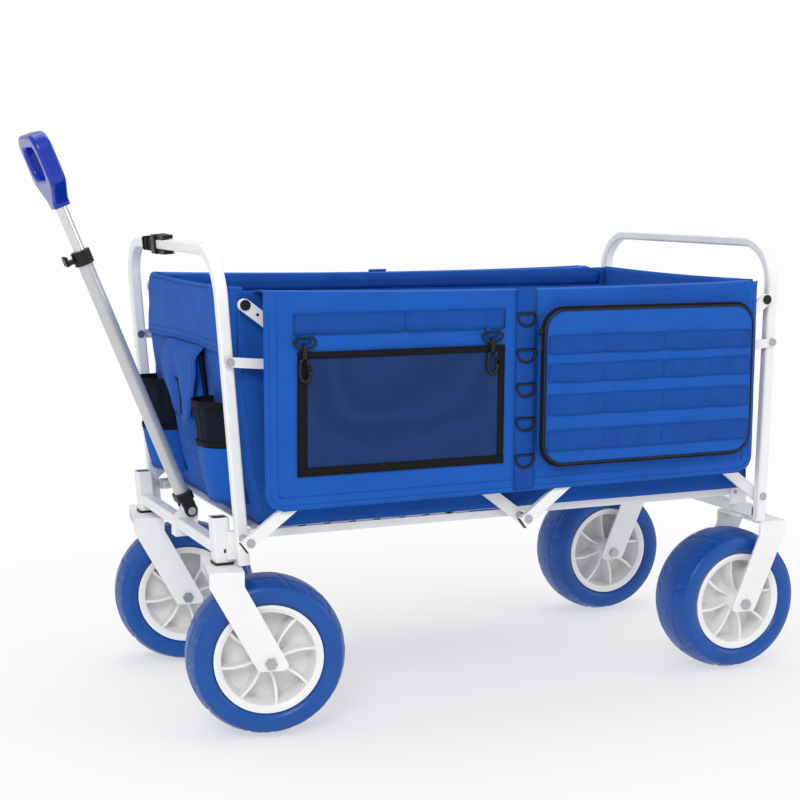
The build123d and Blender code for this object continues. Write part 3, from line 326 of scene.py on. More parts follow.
class Builder:
    """Collects points and faces of several closed shapes into one mesh."""

    def __init__(self):
        self.points = []
        self.faces = []

    def sheet(self, across, along, place, behind):
        """Closed thin sheet: place(u, v) gives its face and behind(u, v) its back."""
        start = len(self.points)
        wide = across + 1
        for layer in (place, behind):
            for row in range(along + 1):
                for column in range(wide):
                    self.points.append(layer(column / across, row / along))
        back = wide * (along + 1)
        for row in range(along):
            for column in range(across):
                a = start + row * wide + column
                self.faces.append((a, a + 1, a + 1 + wide, a + wide))
                self.faces.append((a + back, a + back + wide, a + back + wide + 1, a + back + 1))
        rim = list(range(wide))
        rim += [row * wide + across for row in range(1, along + 1)]
        rim += [along * wide + column for column in range(across - 1, -1, -1)]
        rim += [row * wide for row in range(along - 1, 0, -1)]
        for first, second in zip(rim, rim[1:] + rim[:1]):
            a, b = start + first, start + second
            self.faces.append((a, a + back, b + back, b))

    def rings(self, loops, closed_ends=True):
        """Loft through closed loops of equal length."""
        start = len(self.points)
        count = len(loops[0])
        for loop in loops:
            self.points.extend(loop)
        for level in range(len(loops) - 1):
            for index in range(count):
                a = start + level * count + index
                b = start + level * count + (index + 1) % count
                self.faces.append((a, b, b + count, a + count))
        if closed_ends:
            self.faces.append(tuple(range(start + count - 1, start - 1, -1)))
            last = start + (len(loops) - 1) * count
            self.faces.append(tuple(range(last, last + count)))

    def tube(self, path, radius, closed=False, sides=10, flat=1.0):
        """Round bar along a path."""
        loops = []
        count = len(path)
        turned = None
        for index, point in enumerate(path):
            before = Vector(path[(index - 1) % count] if closed or index else point)
            after = Vector(path[(index + 1) % count] if closed or index < count - 1 else point)
            ahead = (after - before).normalized()
            if turned is None:
                spare = Vector((0, 1, 0)) if abs(ahead.y) < 0.9 else Vector((1, 0, 0))
                turned = (spare - ahead * spare.dot(ahead)).normalized()
            turned = (turned - ahead * turned.dot(ahead)).normalized()
            other = ahead.cross(turned)
            loops.append([
                Vector(point) + turned * (radius * flat * math.cos(step * math.tau / sides))
                + other * (radius * math.sin(step * math.tau / sides))
                for step in range(sides)
            ])
        if closed:
            loops.append(loops[0])
        self.rings(loops, not closed)

    def dash(self, centre, ahead, outward, long, wide, tall):
        """One stitch: a small block with slanted ends."""
        ahead = Vector(ahead).normalized() * long / 2
        out = Vector(outward).normalized()
        across = ahead.cross(out).normalized() * wide / 2
        base = Vector(centre)
        low = [base - ahead - across, base + ahead - across, base + ahead + across, base - ahead + across]
        high = [base + (corner - base) * 0.6 + out * tall for corner in low]
        self.rings([low, high])

    def done(self, name, look, smooth=True):
        return piece(name, self.points, self.faces, look, smooth)


def stitch_line(build, path, outward, pitch=6.0):
    """Row of stitches along a polyline of points that already lie on the surface."""
    for start, end in zip(path, path[1:]):
        start, end = Vector(start), Vector(end)
        count = max(1, int((end - start).length / pitch))
        for index in range(count):
            spot = start.lerp(end, (index + 0.5) / count)
            build.dash(spot, end - start, outward, pitch * 0.62, 0.9, 0.7)


def rounded_loop(centre_x, centre_z, half_x, half_z, radius, per_corner=8):
    """Corner-rounded rectangle as (x, z) points."""
    loop = []
    for quarter in range(4):
        way_x = (1, -1, -1, 1)[quarter]
        way_z = (1, 1, -1, -1)[quarter]
        for step in range(per_corner + 1):
            turn = math.radians(90 * (quarter + step / per_corner))
            loop.append((
                centre_x + way_x * (half_x - radius) + radius * math.cos(turn),
                centre_z + way_z * (half_z - radius) + radius * math.sin(turn),
            ))
    return loop


def smooth_step(value):
    value = min(1.0, max(0.0, value))
    return value * value * (3 - 2 * value)


def between(table, value):
    """Straight interpolation in a short table of (input, output) pairs."""
    for (low, first), (high, second) in zip(table, table[1:]):
        if value <= high:
            return first + (second - first) * max(0.0, (value - low) / (high - low))
    return table[-1][1]


def ripple(x, y, z, size, seed=0.0):
    """Smooth unevenness from -1 to 1, about size millimetres from wave to wave."""
    return noise.noise(Vector((x / size + seed, y / size, z / size)))


def folds_with_side(thing):
    """Side fabric, carried rigidly by the front frame with a mesh of its own; on the real cart it gathers
    towards the front hoop while the scissor closes, which is not modelled here.
    """
    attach(thing, "front_frame")
    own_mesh(thing)


def folds_with_bin(thing):
    """Bin cloth, carried rigidly by the front frame with a mesh of its own; on the real cart it stays joined
    to the front and rear walls while it gathers, which is not modelled here.
    """
    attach(thing, "front_frame")
    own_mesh(thing)


def folds_with_front(thing):
    """Front wall fabric, carried rigidly by the front frame with a mesh of its own; on the real cart it is
    pressed flat against the front hoop, which is not modelled here.
    """
    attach(thing, "front_frame")
    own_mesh(thing)


# ------------------------------------------------------------------ side panels
HOOKS = ((MID - 413, "front"), (MID - 80, "rear"))
PANEL_FRONT = MID - 480
PANEL_REAR = MID + 455
PANEL_FOOT = 379
PANEL_ROUND = 30
PANEL_TOP_CORNER = 735   # the panel hangs from its upper corners, where creases start
PANEL_FACE = 313.1       # outer face from the middle plane


def panel_face(x, z):
    """Distance of the side panel's outer face from the middle plane."""
    slack = 0.9 * ripple(x, 0, z, 140, 3.1) + 0.5 * ripple(x, 0, z, 46, 7.7)
    hem = min(x - PANEL_FRONT, PANEL_REAR - x, z - 380)
    pull = 0.0
    for corner_x, fade in ((PANEL_FRONT, 90.0), (PANEL_REAR, 70.0)):
        drop = PANEL_TOP_CORNER - z
        reach = math.hypot(x - corner_x, drop)
        angle = math.atan2(drop, abs(x - corner_x) + 1)
        pull += 1.5 * math.exp(-reach / fade) * math.sin(angle * 11)
    return PANEL_FACE + slack + pull + (0.8 if hem < 24 else 0.0)


def panel_sheet(side, u, v, depth):
    z = PANEL_FOOT + 351 * v
    round_in = 0.0
    above = PANEL_FOOT + PANEL_ROUND - z
    if above > 0:
        round_in = PANEL_ROUND - math.sqrt(max(0.0, PANEL_ROUND ** 2 - above ** 2))
    low = PANEL_FRONT + round_in + 3 * (1 - v)
    high = PANEL_REAR - round_in
    x = low + (high - low) * u
    sag = 7.0 * math.sin(math.pi * u) ** 0.7 * smooth_step((v - 0.7) / 0.3)
    lift = 5 * u * (1 - v)
    return (x, side * (panel_face(x, z) - depth), z - sag + lift)


def make_side_panels():
    for side, hand in SIDE_NAMES:
        build = Builder()
        build.sheet(120, 56, lambda u, v: panel_sheet(side, u, v, 0.0),
                    lambda u, v: panel_sheet(side, u, v, 2.4))
        panel = build.done("side_panel_" + hand, "canvas")
        folds_with_side(panel)
        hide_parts("side_panels")
        seams = Builder()
        for inset in (8, 21):
            corner = []
            for step in range(9):
                turn = math.radians(180 + 90 * step / 8)
                reach = PANEL_ROUND - inset
                corner.append((PANEL_FRONT + 33 + reach * math.cos(turn), 410 + reach * math.sin(turn)))
            other = [(PANEL_REAR + PANEL_FRONT - x + 3, z + 4) for x, z in corner]
            route = [(PANEL_FRONT + inset, 720), *corner, *reversed(other), (PANEL_REAR - inset, 720)]
            fine = []
            for (x0, z0), (x1, z1) in zip(route, route[1:]):
                parts = max(1, int(math.hypot(x1 - x0, z1 - z0) / 24))
                fine += [(x0 + (x1 - x0) * k / parts, z0 + (z1 - z0) * k / parts) for k in range(parts)]
            path = [(x, side * (panel_face(x, z) + 0.1), z) for x, z in fine + [route[-1]]]
            stitch_line(seams, path, (0, side, 0))
        folds_with_side(seams.done("panel_stitches_" + hand, "thread", False))


def strip_on_panel(build, side, x0, x1, z0, z1, lift=0.7, thick=1.2, bulge=None):
    """Band lying on the side panel; bulge(u, v) raises it further."""
    across = max(2, int(abs(x1 - x0) / 9))
    along = max(2, int(abs(z1 - z0) / 9))

    def face(u, v, depth):
        x = x0 + (x1 - x0) * u
        z = z0 + (z1 - z0) * v
        extra = bulge(u, v) if bulge else 0.0
        return (x, side * (panel_face(x, z) + lift + extra - depth), z)

    build.sheet(across, along, lambda u, v: face(u, v, 0.0), lambda u, v: face(u, v, thick))


def make_mesh_pockets():
    low_x, high_x = MID - 424, MID - 55
    low_z, high_z = 433.0, 633.0
    for side, hand in SIDE_NAMES:
        net = Builder()
        strip_on_panel(net, side, low_x + 4, high_x - 4, low_z + 4, high_z - 4, 1.2, 1.0,
                       lambda u, v: 3.6 * math.sin(math.pi * u) * smooth_step((v - 0.07) / 0.75))
        pocket = net.done("mesh_pocket_" + hand, "netting")
        folds_with_side(pocket)
        edge = Builder()
        strip_on_panel(edge, side, low_x, low_x + 17, low_z, high_z, 2.4, 1.4)
        strip_on_panel(edge, side, high_x - 12, high_x, low_z, high_z, 2.4, 1.4)
        strip_on_panel(edge, side, low_x, high_x, low_z, low_z + 14, 2.9, 1.6)
        folds_with_side(edge.done("mesh_pocket_binding_" + hand, "black_web"))
        elastic = Builder()
        strip_on_panel(elastic, side, low_x, high_x, high_z - 11, high_z, 2.9, 1.6,
                       lambda u, v: 3.8 * math.sin(math.pi * u) + 0.4 * math.sin(u * 230))
        folds_with_side(elastic.done("mesh_pocket_elastic_" + hand, "black_web"))


def loops_bulge(marks, height):
    """Raised loops between sewn marks given as fractions of the strip."""
    def bulge(u, v):
        for low, high in zip(marks, marks[1:]):
            if u <= high:
                part = (u - low) / max(1e-6, high - low)
                return height * (1 - (2 * part - 1) ** 4)
        return 0.0
    return bulge


def cross_tacks(build, side, x, z0, z1, lift):
    """Zigzag bar tack across a webbing."""
    count = int(abs(z1 - z0) / 1.8)
    for index in range(count):
        z = z0 + (z1 - z0) * (index + 0.5) / count
        sway = 1.3 if index % 2 else -1.3
        build.dash((x, side * (panel_face(x, z) + lift), z), (sway, 0, 1.6), (0, side, 0), 3.0, 0.8, 0.5)


def make_webbing():
    edges = [-431, -397, -334, -318, -286, -238, -189, -141, -93, -55]
    rings = [388, 436, 499, 557, 615, 676, 722]
    for side, hand in SIDE_NAMES:
        strip = Builder()
        low, high = MID + edges[0], MID + edges[-1]
        marks = [(edge - edges[0]) / (edges[-1] - edges[0]) for edge in edges]
        strip_on_panel(strip, side, low, high, 660, 693, 1.0, 1.4, loops_bulge(marks, 2.6))
        post = Builder()
        shares = [(z - rings[0]) / (rings[-1] - rings[0]) for z in rings]
        lift = loops_bulge(shares, 3.2)
        strip_on_panel(post, side, MID - 34, MID + 4, 384, 728, 1.0, 1.5, lambda u, v: lift(v, u))
        tacks = Builder()
        for edge in edges:
            cross_tacks(tacks, side, MID + edge + (3 if edge == edges[0] else 0), 662, 691, 1.5)
        for z in rings[1:-1]:
            row = [MID - 33 + 4 * k for k in range(10)]
            path = [(x, side * (panel_face(x, z) + 1.6), z + 7) for x in row]
            stitch_line(tacks, path, (0, side, 0), 3.0)
        for name, build, look in (("molle_strip_", strip, "webbing"), ("ring_webbing_", post, "webbing"),
                                  ("webbing_tacks_", tacks, "thread")):
            folds_with_side(build.done(name + hand, look))
        hangers = Builder()
        for x, _ in HOOKS:
            strip_on_panel(hangers, side, x - 11, x + 11, 646, 664, 3.0, 1.6)
        folds_with_side(hangers.done("hook_hangers_" + hand, "webbing"))


# ------------------------------------------------------------------ zipped pockets
POCKET_X, POCKET_Z = MID + 223.5, 558.5
POCKET_HALF_X, POCKET_HALF_Z = 212.0, 133.0
POCKET_EDGE = 334.0      # rim of the pocket's front, from the middle plane


def pocket_front(x, z):
    """Crowned front of the zipped pocket."""
    u = (x - POCKET_X) / POCKET_HALF_X
    v = (z - POCKET_Z) / POCKET_HALF_Z
    crown = 4.6 * max(0.0, 1 - u ** 4) * max(0.0, 1 - v ** 4)
    return POCKET_EDGE + crown + 0.7 * ripple(x, 0, z, 70, 1.7)


def pocket_loop(side, inset, y, radius):
    loop = rounded_loop(POCKET_X, POCKET_Z, POCKET_HALF_X - inset, POCKET_HALF_Z - inset, radius)
    return [(x, side * y, z) for x, z in loop]


def make_zip_pockets():
    for side, hand in SIDE_NAMES:
        body = Builder()
        loops = [pocket_loop(side, -4, 313.4, 42), pocket_loop(side, 0, 314.5, 38),
                 pocket_loop(side, -1.5, 322, 38), pocket_loop(side, 0, 330, 38),
                 pocket_loop(side, 2.5, POCKET_EDGE - 1, 36)]
        for inset in (5, 9, 16, 26, 40, 58, 78, 98, 118):
            shape = rounded_loop(POCKET_X, POCKET_Z, POCKET_HALF_X - inset, POCKET_HALF_Z - inset,
                                 max(8, 36 - inset / 3))
            loops.append([(x, side * pocket_front(x, z), z) for x, z in shape])
        body.rings(loops)
        pocket = body.done("zip_pocket_" + hand, "canvas")
        folds_with_side(pocket)
        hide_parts("zip_pockets")
        tape = Builder()
        tape.rings([pocket_loop(side, 1.5, 323, 38), pocket_loop(side, -2.6, 323.4, 39),
                    pocket_loop(side, -2.8, 330.6, 39), pocket_loop(side, 1.5, 331, 38)], False)
        folds_with_side(tape.done("zip_tape_" + hand, "black_web"))
        piping = Builder()
        piping.tube(pocket_loop(side, 2.0, POCKET_EDGE, 37), 1.9, True, 8)
        folds_with_side(piping.done("pocket_piping_" + hand, "black"))
        teeth = Builder()
        line = rounded_loop(POCKET_X, POCKET_Z, POCKET_HALF_X + 3.0, POCKET_HALF_Z + 3.0, 39)
        for (x0, z0), (x1, z1) in zip(line, line[1:] + line[:1]):
            count = max(1, int(math.hypot(x1 - x0, z1 - z0) / 3.2))
            for index in range(count):
                x = x0 + (x1 - x0) * index / count
                z = z0 + (z1 - z0) * index / count
                off_x, off_z = x - POCKET_X, z - POCKET_Z
                out = (off_x if abs(off_x) > 176 else 0, 0, off_z if abs(off_z) > 97 else 0)
                teeth.dash((x, side * 327, z), (0, 1, 0), out, 4.6, 1.5, 1.0)
        folds_with_side(teeth.done("zip_teeth_" + hand, "black", False))
        rows = Builder()
        tacks = Builder()
        stops = [POCKET_X - 205, MID + 126, MID + 244, MID + 343, POCKET_X + 205]
        for high, low in ((647, 616), (599, 568), (546, 511), (486, 451)):
            marks = [(x - stops[0]) / (stops[-1] - stops[0]) for x in stops]
            lift = loops_bulge(marks, 1.6)

            def face(u, v, depth):
                x = stops[0] + (stops[-1] - stops[0]) * u
                z = low + (high - low) * v + 1.2 * ripple(x, 0, low, 60)
                return (x, side * (pocket_front(x, z) + 0.8 + lift(u, v) - depth), z)

            rows.sheet(60, 5, lambda u, v: face(u, v, 0.0), lambda u, v: face(u, v, 1.3))
            for x in stops[1:-1]:
                path = [(x, side * (pocket_front(x, z) + 1.0), z) for z in range(low + 1, high, 3)]
                stitch_line(tacks, path, (0, side, 0), 3.0)
        folds_with_side(rows.done("pocket_webbing_" + hand, "webbing"))
        folds_with_side(tacks.done("pocket_tacks_" + hand, "thread", False))


# ------------------------------------------------------------------ bin walls and floor
def wall_x(z):
    """Outer face of the front wall at mid width: it leans forward and tucks in at the floor."""
    return MID + between([(342, -458), (360, -466), (384, -474), (430, -484), (491, -493),
                          (596, -506), (660, -511), (708, -513), (730, -510)], z)


def corner_tuck(y):
    """The front wall turns back at its upright corners."""
    return 13.0 * smooth_step((abs(y) - 222) / 34)


def front_face(y, z, depth=0.0):
    belly = 3.0 * math.cos(math.pi * y / HALF_WAVE) * math.sin(math.pi * min(1.0, max(0.0, (z - 344) / 386)))
    loose = smooth_step((450 - z) / 90)
    slack = 2.6 * ripple(0, y, z, 90, 5.5) + (1.4 + 3.5 * loose) * ripple(0, y, z, 34, 9.1)
    slack *= smooth_step((z - 343) / 18) * smooth_step((257 - abs(y)) / 12)
    return (wall_x(z) - belly - slack + corner_tuck(y) + depth, y, z)


def rim_dip(y):
    """The front rim sags a little between its corners."""
    return 4.0 * math.cos(math.pi * y / HALF_WAVE)


def make_front_wall():
    build = Builder()

    def face(u, v, depth):
        y = -255 + 510 * u
        z = 343 + 387 * v
        x, y, z = front_face(y, z, depth)
        return (x, y, z - rim_dip(y) * smooth_step((v - 0.8) / 0.2))

    build.sheet(72, 56, lambda u, v: face(u, v, 0.0), lambda u, v: face(u, v, 2.2))
    wall = build.done("front_wall", "canvas")
    folds_with_front(wall)
    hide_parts("front_panel")
    band = Builder()

    def band_face(u, v, depth):
        y = -249 + 498 * u
        drape = 6.0 * math.sin(math.pi * u) + 2.0 * ripple(0, y, 0, 80, 2.2)
        z = 621 + 106 * v + drape * (1 - v)
        x, y, z = front_face(y, z, depth)
        return (x - 2.0 - 3.5 * (1 - v) ** 2, y, z - rim_dip(y) * smooth_step((v - 0.3) / 0.7))

    band.sheet(72, 18, lambda u, v: band_face(u, v, 0.0), lambda u, v: band_face(u, v, 1.8))
    over = band.done("front_fold_band", "canvas")
    folds_with_front(over)
    seams = Builder()
    for height in (0.07, 0.16):
        path = []
        for k in range(61):
            x, y, z = band_face(k / 60, height, 0.0)
            path.append((x - 0.2, y, z))
        stitch_line(seams, path, (-1, 0, 0))
    folds_with_front(seams.done("front_band_stitches", "thread", False))
    roll = Builder()
    path = [(wall_x(727) + 3 + corner_tuck(y), y, 729 - rim_dip(y)) for y in range(-251, 252, 6)]
    roll.tube(path, 5.0, False, 10, 0.8)
    folds_with_front(roll.done("front_rim_roll", "canvas"))


def make_rear_wall():
    build = Builder()

    def face(u, v, depth):
        y = -256 + 512 * u
        z = 344 + 386 * v
        slack = 1.2 * ripple(0, y, z, 100, 4.1) + 1.5 * math.sin(math.pi * u) * math.sin(math.pi * v)
        return (REAR - 12 + slack - depth, y, z - 3 * math.sin(math.pi * u) * smooth_step((v - 0.8) / 0.2))

    build.sheet(56, 44, lambda u, v: face(u, v, 0.0), lambda u, v: face(u, v, 2.2))
    wall = build.done("rear_wall", "canvas")
    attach(wall, "rear_frame")
    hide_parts("rear_panel")
    band = Builder()
    band.sheet(56, 8, lambda u, v: Vector(face(u, 0.80 + 0.19 * v, 0)) + Vector((1.2, 0, 0)),
               lambda u, v: Vector(face(u, 0.80 + 0.19 * v, 0)))
    for middle in (-236, 236):
        def upright(u, v, proud):
            y = middle - 14 + 28 * u
            return (face(0.5 + y / 512, v * 0.97, 0)[0] + proud, y, 345 + 376 * v)

        band.sheet(4, 40, lambda u, v: upright(u, v, 1.2), lambda u, v: upright(u, v, 0.0))
    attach(band.done("rear_wall_bands", "webbing"), "rear_frame")
    seams = Builder()
    for height in (0.815, 0.975):
        path = [Vector(face(k / 60, height, 0)) + Vector((1.3, 0, 0)) for k in range(61)]
        stitch_line(seams, path, (1, 0, 0))
    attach(seams.done("rear_wall_stitches", "thread", False), "rear_frame")


def liner_y(x, z):
    """Outer face of the bin's side wall, with the slack of loose cloth."""
    front = smooth_step((MID - 330 - x) / 120)
    folds = 2.8 * math.sin((x + z * 0.30) / 13) + 2.2 * ripple(x, 0, z, 40, 2.9)
    low = wall_x(z) + 9
    slack = (1.6 * ripple(x, 0, z, 110, 8.3) + front * folds) * smooth_step((x - low) / 16)
    return 254.8 + slack


def make_liner():
    for side, hand in SIDE_NAMES:
        build = Builder()

        def face(u, v, depth):
            z = 343 + 385 * v
            low = wall_x(z) + 9
            x = low + (REAR - 13 - low) * u
            dip = 4 * math.sin(math.pi * u) * smooth_step((v - 0.85) / 0.15)
            return (x, side * (liner_y(x, z) - depth), z - dip)

        build.sheet(110, 36, lambda u, v: face(u, v, 0.0), lambda u, v: face(u, v, 1.8))
        wall = build.done("bin_side_" + hand, "lining")
        folds_with_bin(wall)
        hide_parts("bin_liner")
        top = Builder()

        def flange(u, v, depth):
            x = MID - 476 + 929 * u
            bow = 5.0 * math.sin(math.pi * v)
            sag = 6.5 * math.sin(math.pi * u) ** 0.7
            return (x, side * (255 + 58 * v), 725.5 + bow - sag - depth + 0.8 * ripple(x, 0, 40 * v, 60))

        top.sheet(100, 8, lambda u, v: flange(u, v, 0.0), lambda u, v: flange(u, v, 1.8))
        cover = top.done("bin_top_fold_" + hand, "canvas")
        folds_with_side(cover)
        bands = Builder()

        def upright(x, v, depth):
            z = 345 + 375 * v
            return (x, side * (liner_y(x, z) - depth), z)

        def level(u, v, depth):
            x = MID - 480 + 950 * u
            return (x, side * (liner_y(x, 700) - depth), 694 + 24 * v)

        for x0 in (MID - 290, MID - 20, MID + 250):
            bands.sheet(3, 30, lambda u, v: upright(x0 + 38 * u, v, 3.2),
                        lambda u, v: upright(x0 + 38 * u, v, 1.9))
        bands.sheet(100, 3, lambda u, v: level(u, v, 3.4), lambda u, v: level(u, v, 2.0))
        folds_with_bin(bands.done("bin_inner_bands_" + hand, "webbing"))
    base = Builder()

    def floor(u, v, depth):
        x = MID - 459 + 945.5 * u
        y = -254 + 508 * v
        groove = sum(math.exp(-((x - MID - stop) / 5.0) ** 2) for stop in (-228, 0, 240))
        return (x, y, 343.6 + 0.9 * (1 - groove) + 0.3 * ripple(x, y, 0, 50) - depth)

    base.sheet(110, 40, lambda u, v: floor(u, v, 0.0), lambda u, v: floor(u, v, 1.7))
    bottom = base.done("bin_floor", "lining")
    folds_with_bin(bottom)


# ------------------------------------------------------------------ front pockets
CUP_Y = 173.0
CUP_FOOT = 377
CUP_TOP = 540


def cup_point(side, turn, z, radius):
    """Point on a half-round pocket: turn runs from -1 to 1 round its front."""
    angle = turn * math.pi / 2
    sink = 7.0 * abs(turn) ** 6
    lobe = radius * (1 + 0.02 * math.sin(7 * angle + side))
    base_x = wall_x(z) - 4
    return (base_x - lobe * math.cos(angle) * 0.92 + sink - 4, side * CUP_Y + lobe * math.sin(angle), z)


def dent(u, v):
    """Uneven fullness of the cloth part of a cup pocket."""
    return 2.6 * ripple(u * 100, 0, v * 90, 30, 4.4) * math.sin(math.pi * v) * math.sin(math.pi * u)


def make_cup_holders():
    for side, hand in SIDE_NAMES:
        seam_z = 474.0 if side < 0 else 456.0
        low = Builder()
        tall = seam_z - CUP_FOOT

        def cloth(u, v, reach):
            return cup_point(side, 2 * u - 1, CUP_FOOT + tall * v, reach - 3 * (1 - v) ** 3 + dent(u, v))

        low.sheet(36, 16, lambda u, v: cloth(u, v, 49.5), lambda u, v: cloth(u, v, 47.5))
        low.sheet(28, 6, lambda u, v: cup_point(side, 2 * u - 1, 376.4, 46 * (1 - 0.97 * v)),
                  lambda u, v: cup_point(side, 2 * u - 1, 378.2, 46 * (1 - 0.97 * v)))
        cup = low.done("cup_pocket_" + hand, "canvas")
        folds_with_front(cup)
        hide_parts("cup_holders")
        high = Builder()

        def netting(u, v, inner):
            turn = 2 * u - 1
            pleat = 1.6 * math.sin(u * 46) * v * (1 - abs(turn) ** 4)
            reach = 48.6 - inner + pleat - 3.5 * math.sin(math.pi * v)
            return cup_point(side, turn, seam_z - 1 + (CUP_TOP - seam_z) * v, reach)

        high.sheet(84, 12, lambda u, v: netting(u, v, 0.0), lambda u, v: netting(u, v, 1.2))
        folds_with_front(high.done("cup_netting_" + hand, "dark_net"))
        hems = Builder()
        for z0, z1, reach in ((seam_z - 4, seam_z + 5, 49.4), (535, 546, 49.0)):
            hems.sheet(60, 3, lambda u, v: cup_point(side, 2 * u - 1, z0 + (z1 - z0) * v, reach + 1.0),
                       lambda u, v: cup_point(side, 2 * u - 1, z0 + (z1 - z0) * v, reach - 0.6))
        folds_with_front(hems.done("cup_hems_" + hand, "black_web"))
        seam = Builder()
        for z in (seam_z - 9, 383):
            path = [cup_point(side, -1 + 2 * k / 40, z, 49.0) for k in range(3, 38)]
            stitch_line(seam, path, (-1, 0, 0), 5.0)
        folds_with_front(seam.done("cup_stitches_" + hand, "thread", False))


def make_flap_pocket():
    body = Builder()
    loops = []
    for depth, inset in ((-1.0, 0), (-6, -2), (-13, 2), (-17, 12), (-18, 30), (-18, 50)):
        shape = rounded_loop(0, 552, 94 - inset, 62 - inset, max(4, 22 - inset / 3))
        loops.append([(wall_x(z) - 3 + depth + 1.2 * ripple(0, y, z, 40, 6.6), y, z) for y, z in shape])
    body.rings(loops)
    pocket = body.done("centre_pocket", "canvas")
    folds_with_front(pocket)
    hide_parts("flap_pocket")
    flap = Builder()

    def face(u, v, depth):
        half = 107 - 66 * smooth_step((v - 0.30) / 0.70)
        y = half * (2 * u - 1) - 24 * v
        z = 626 - 136 * v - 8 * math.cos(math.pi * (u - 0.5)) * v
        lift = 19 + 9 * math.sin(math.pi * v * 0.8) + 8 * v ** 3 - 4 * abs(2 * u - 1) ** 3
        lift = lift * smooth_step(v * 5 + 0.18) + 1.6 * ripple(0, y, z, 34, 1.1)
        # hollow that leaves room for the handle at its most upright
        lift -= 11.0 * smooth_step(v * 1.6 - 0.1) * math.exp(-(y / 18) ** 2)
        return (wall_x(z) - 4 - lift + depth, y, z)

    flap.sheet(34, 26, lambda u, v: face(u, v, 0.0), lambda u, v: face(u, v, 1.8))
    cover = flap.done("pocket_flap", "canvas")
    folds_with_front(cover)
    trim = Builder()
    for start, end in ((0.02, 0.98), (0.07, 0.93)):
        path = [face(start, 0.04 + 0.92 * k / 30, -0.2) for k in range(31)]
        path += [face(start + (end - start) * k / 16, 0.96, -0.2) for k in range(17)]
        path += [face(end, 0.96 - 0.92 * k / 30, -0.2) for k in range(31)]
        stitch_line(trim, path, (-1, 0, 0), 5.0)
    folds_with_front(trim.done("flap_stitches", "thread", False))
    hook = Builder()

    def strap(u, v, depth):
        x, y, z = face(0.44 + 0.17 * u - 0.10 * v, 0.44 + 0.42 * v, depth)
        return (x - 1.2, y, z)

    hook.sheet(5, 12, lambda u, v: strap(u, v, 0.0), lambda u, v: strap(u, v, 1.1))
    folds_with_front(hook.done("flap_hook_strip", "black_web"))
    gussets = Builder()
    for side in SIDES:
        def gusset(u, v, inward, out):
            z = 612 - 90 * v
            return (wall_x(z) - inward - 9 * u, side * (out + 10 * u * (1 - u)), z)

        gussets.sheet(5, 14, lambda u, v: gusset(u, v, 4, 101), lambda u, v: gusset(u, v, 3, 98.5))
    folds_with_front(gussets.done("pocket_gussets", "dark_net"))


# ------------------------------------------------------------------ tyres
TYRE_STEPS = 300
CASTER_TURN = math.radians(-11.3)


def tyre_radius(w, turn):
    """Outer radius of the treaded tyre at a distance w from its middle."""
    across = abs(w) / 50.0
    crown = 131.4 - 12.4 * across ** 2.4
    lug = (turn * 20 / math.tau + 0.5 * across) % 1.0
    inner = (turn * 10 / math.tau + 0.25 + (0.2 if w > 0 else -0.2) * across) % 1.0
    groove = 0.0
    if across > 0.45:
        groove = max(0.0, 1 - abs(lug - 0.5) / 0.13) + 0.25 * max(0.0, 0.5 - lug)
    elif across > 0.08:
        groove = max(0.0, 1 - abs(inner - 0.5) / 0.06) * 0.7
    groove = max(groove, max(0.0, 1 - abs(across - 0.45) / 0.05) * 0.5)
    return crown - 1.9 * min(1.0, groove * 1.8) * min(1.0, max(0.0, 0.93 - across) * 7)


def make_tyre(name, body, centre, heading):
    axle = Vector((math.sin(heading), -math.cos(heading), 0))
    ahead = Vector((math.cos(heading), math.sin(heading), 0))
    up = Vector((0, 0, 1))
    tread = [-47.5 + 95 * k / 38 for k in range(39)]
    left = [(-41, 90.4), (-45.5, 93), (-48.8, 98), (-50, 105), (-49.6, 112)]
    right = [(-w, r) for w, r in reversed(left)]
    build = Builder()
    loops = [(w, lambda turn, r=r: r) for w, r in left]
    loops += [(w, lambda turn, w=w: tyre_radius(w, turn)) for w in tread]
    loops += [(w, lambda turn, r=r: r) for w, r in right]
    loops.append((0, lambda turn: 90.3))
    loops.append(loops[0])
    rings = []
    for w, radius in loops:
        ring = []
        for step in range(TYRE_STEPS):
            turn = math.tau * step / TYRE_STEPS
            reach = radius(turn)
            ring.append(centre + axle * w + (ahead * math.cos(turn) + up * math.sin(turn)) * reach)
        rings.append(ring)
    build.rings(rings, False)
    tyre = build.done(name, "tyre")
    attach(tyre, body)
    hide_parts(name.replace("treaded_", ""))


def make_tyres():
    trail_x = 70 * math.cos(CASTER_TURN)
    trail_y = 70 * math.sin(CASTER_TURN)
    for side, hand in SIDE_NAMES:
        front = Vector((STEM_X + trail_x, side * WHEEL_Y + trail_y, WHEEL_Z))
        rear = Vector((REAR - 34, side * WHEEL_Y, WHEEL_Z))
        make_tyre("treaded_tyre_front_" + hand, "wheel_front_" + hand, front, CASTER_TURN)
        make_tyre("treaded_tyre_rear_" + hand, "wheel_rear_" + hand, rear, 0.0)


# ------------------------------------------------------------------ small fittings
def make_rings():
    build = Builder()
    middle = MID - 15
    for side in SIDES:
        for z in (676, 615, 557, 499, 436):
            path = [(middle - 17, side * 317.2, z + 8), (middle + 17, side * 317.2, z + 8)]
            for step in range(13):
                turn = math.radians(-180 * step / 12)
                path.append((middle + 18 * math.cos(turn), side * (317.2 + 1.5 * math.sin(-turn)),
                             z + 4 + 17 * math.sin(turn)))
            build.tube(path, 2.1, True, 8)
    rings = build.done("ring_bars", "black")
    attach(rings, "ring_row")
    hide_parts("d_rings")


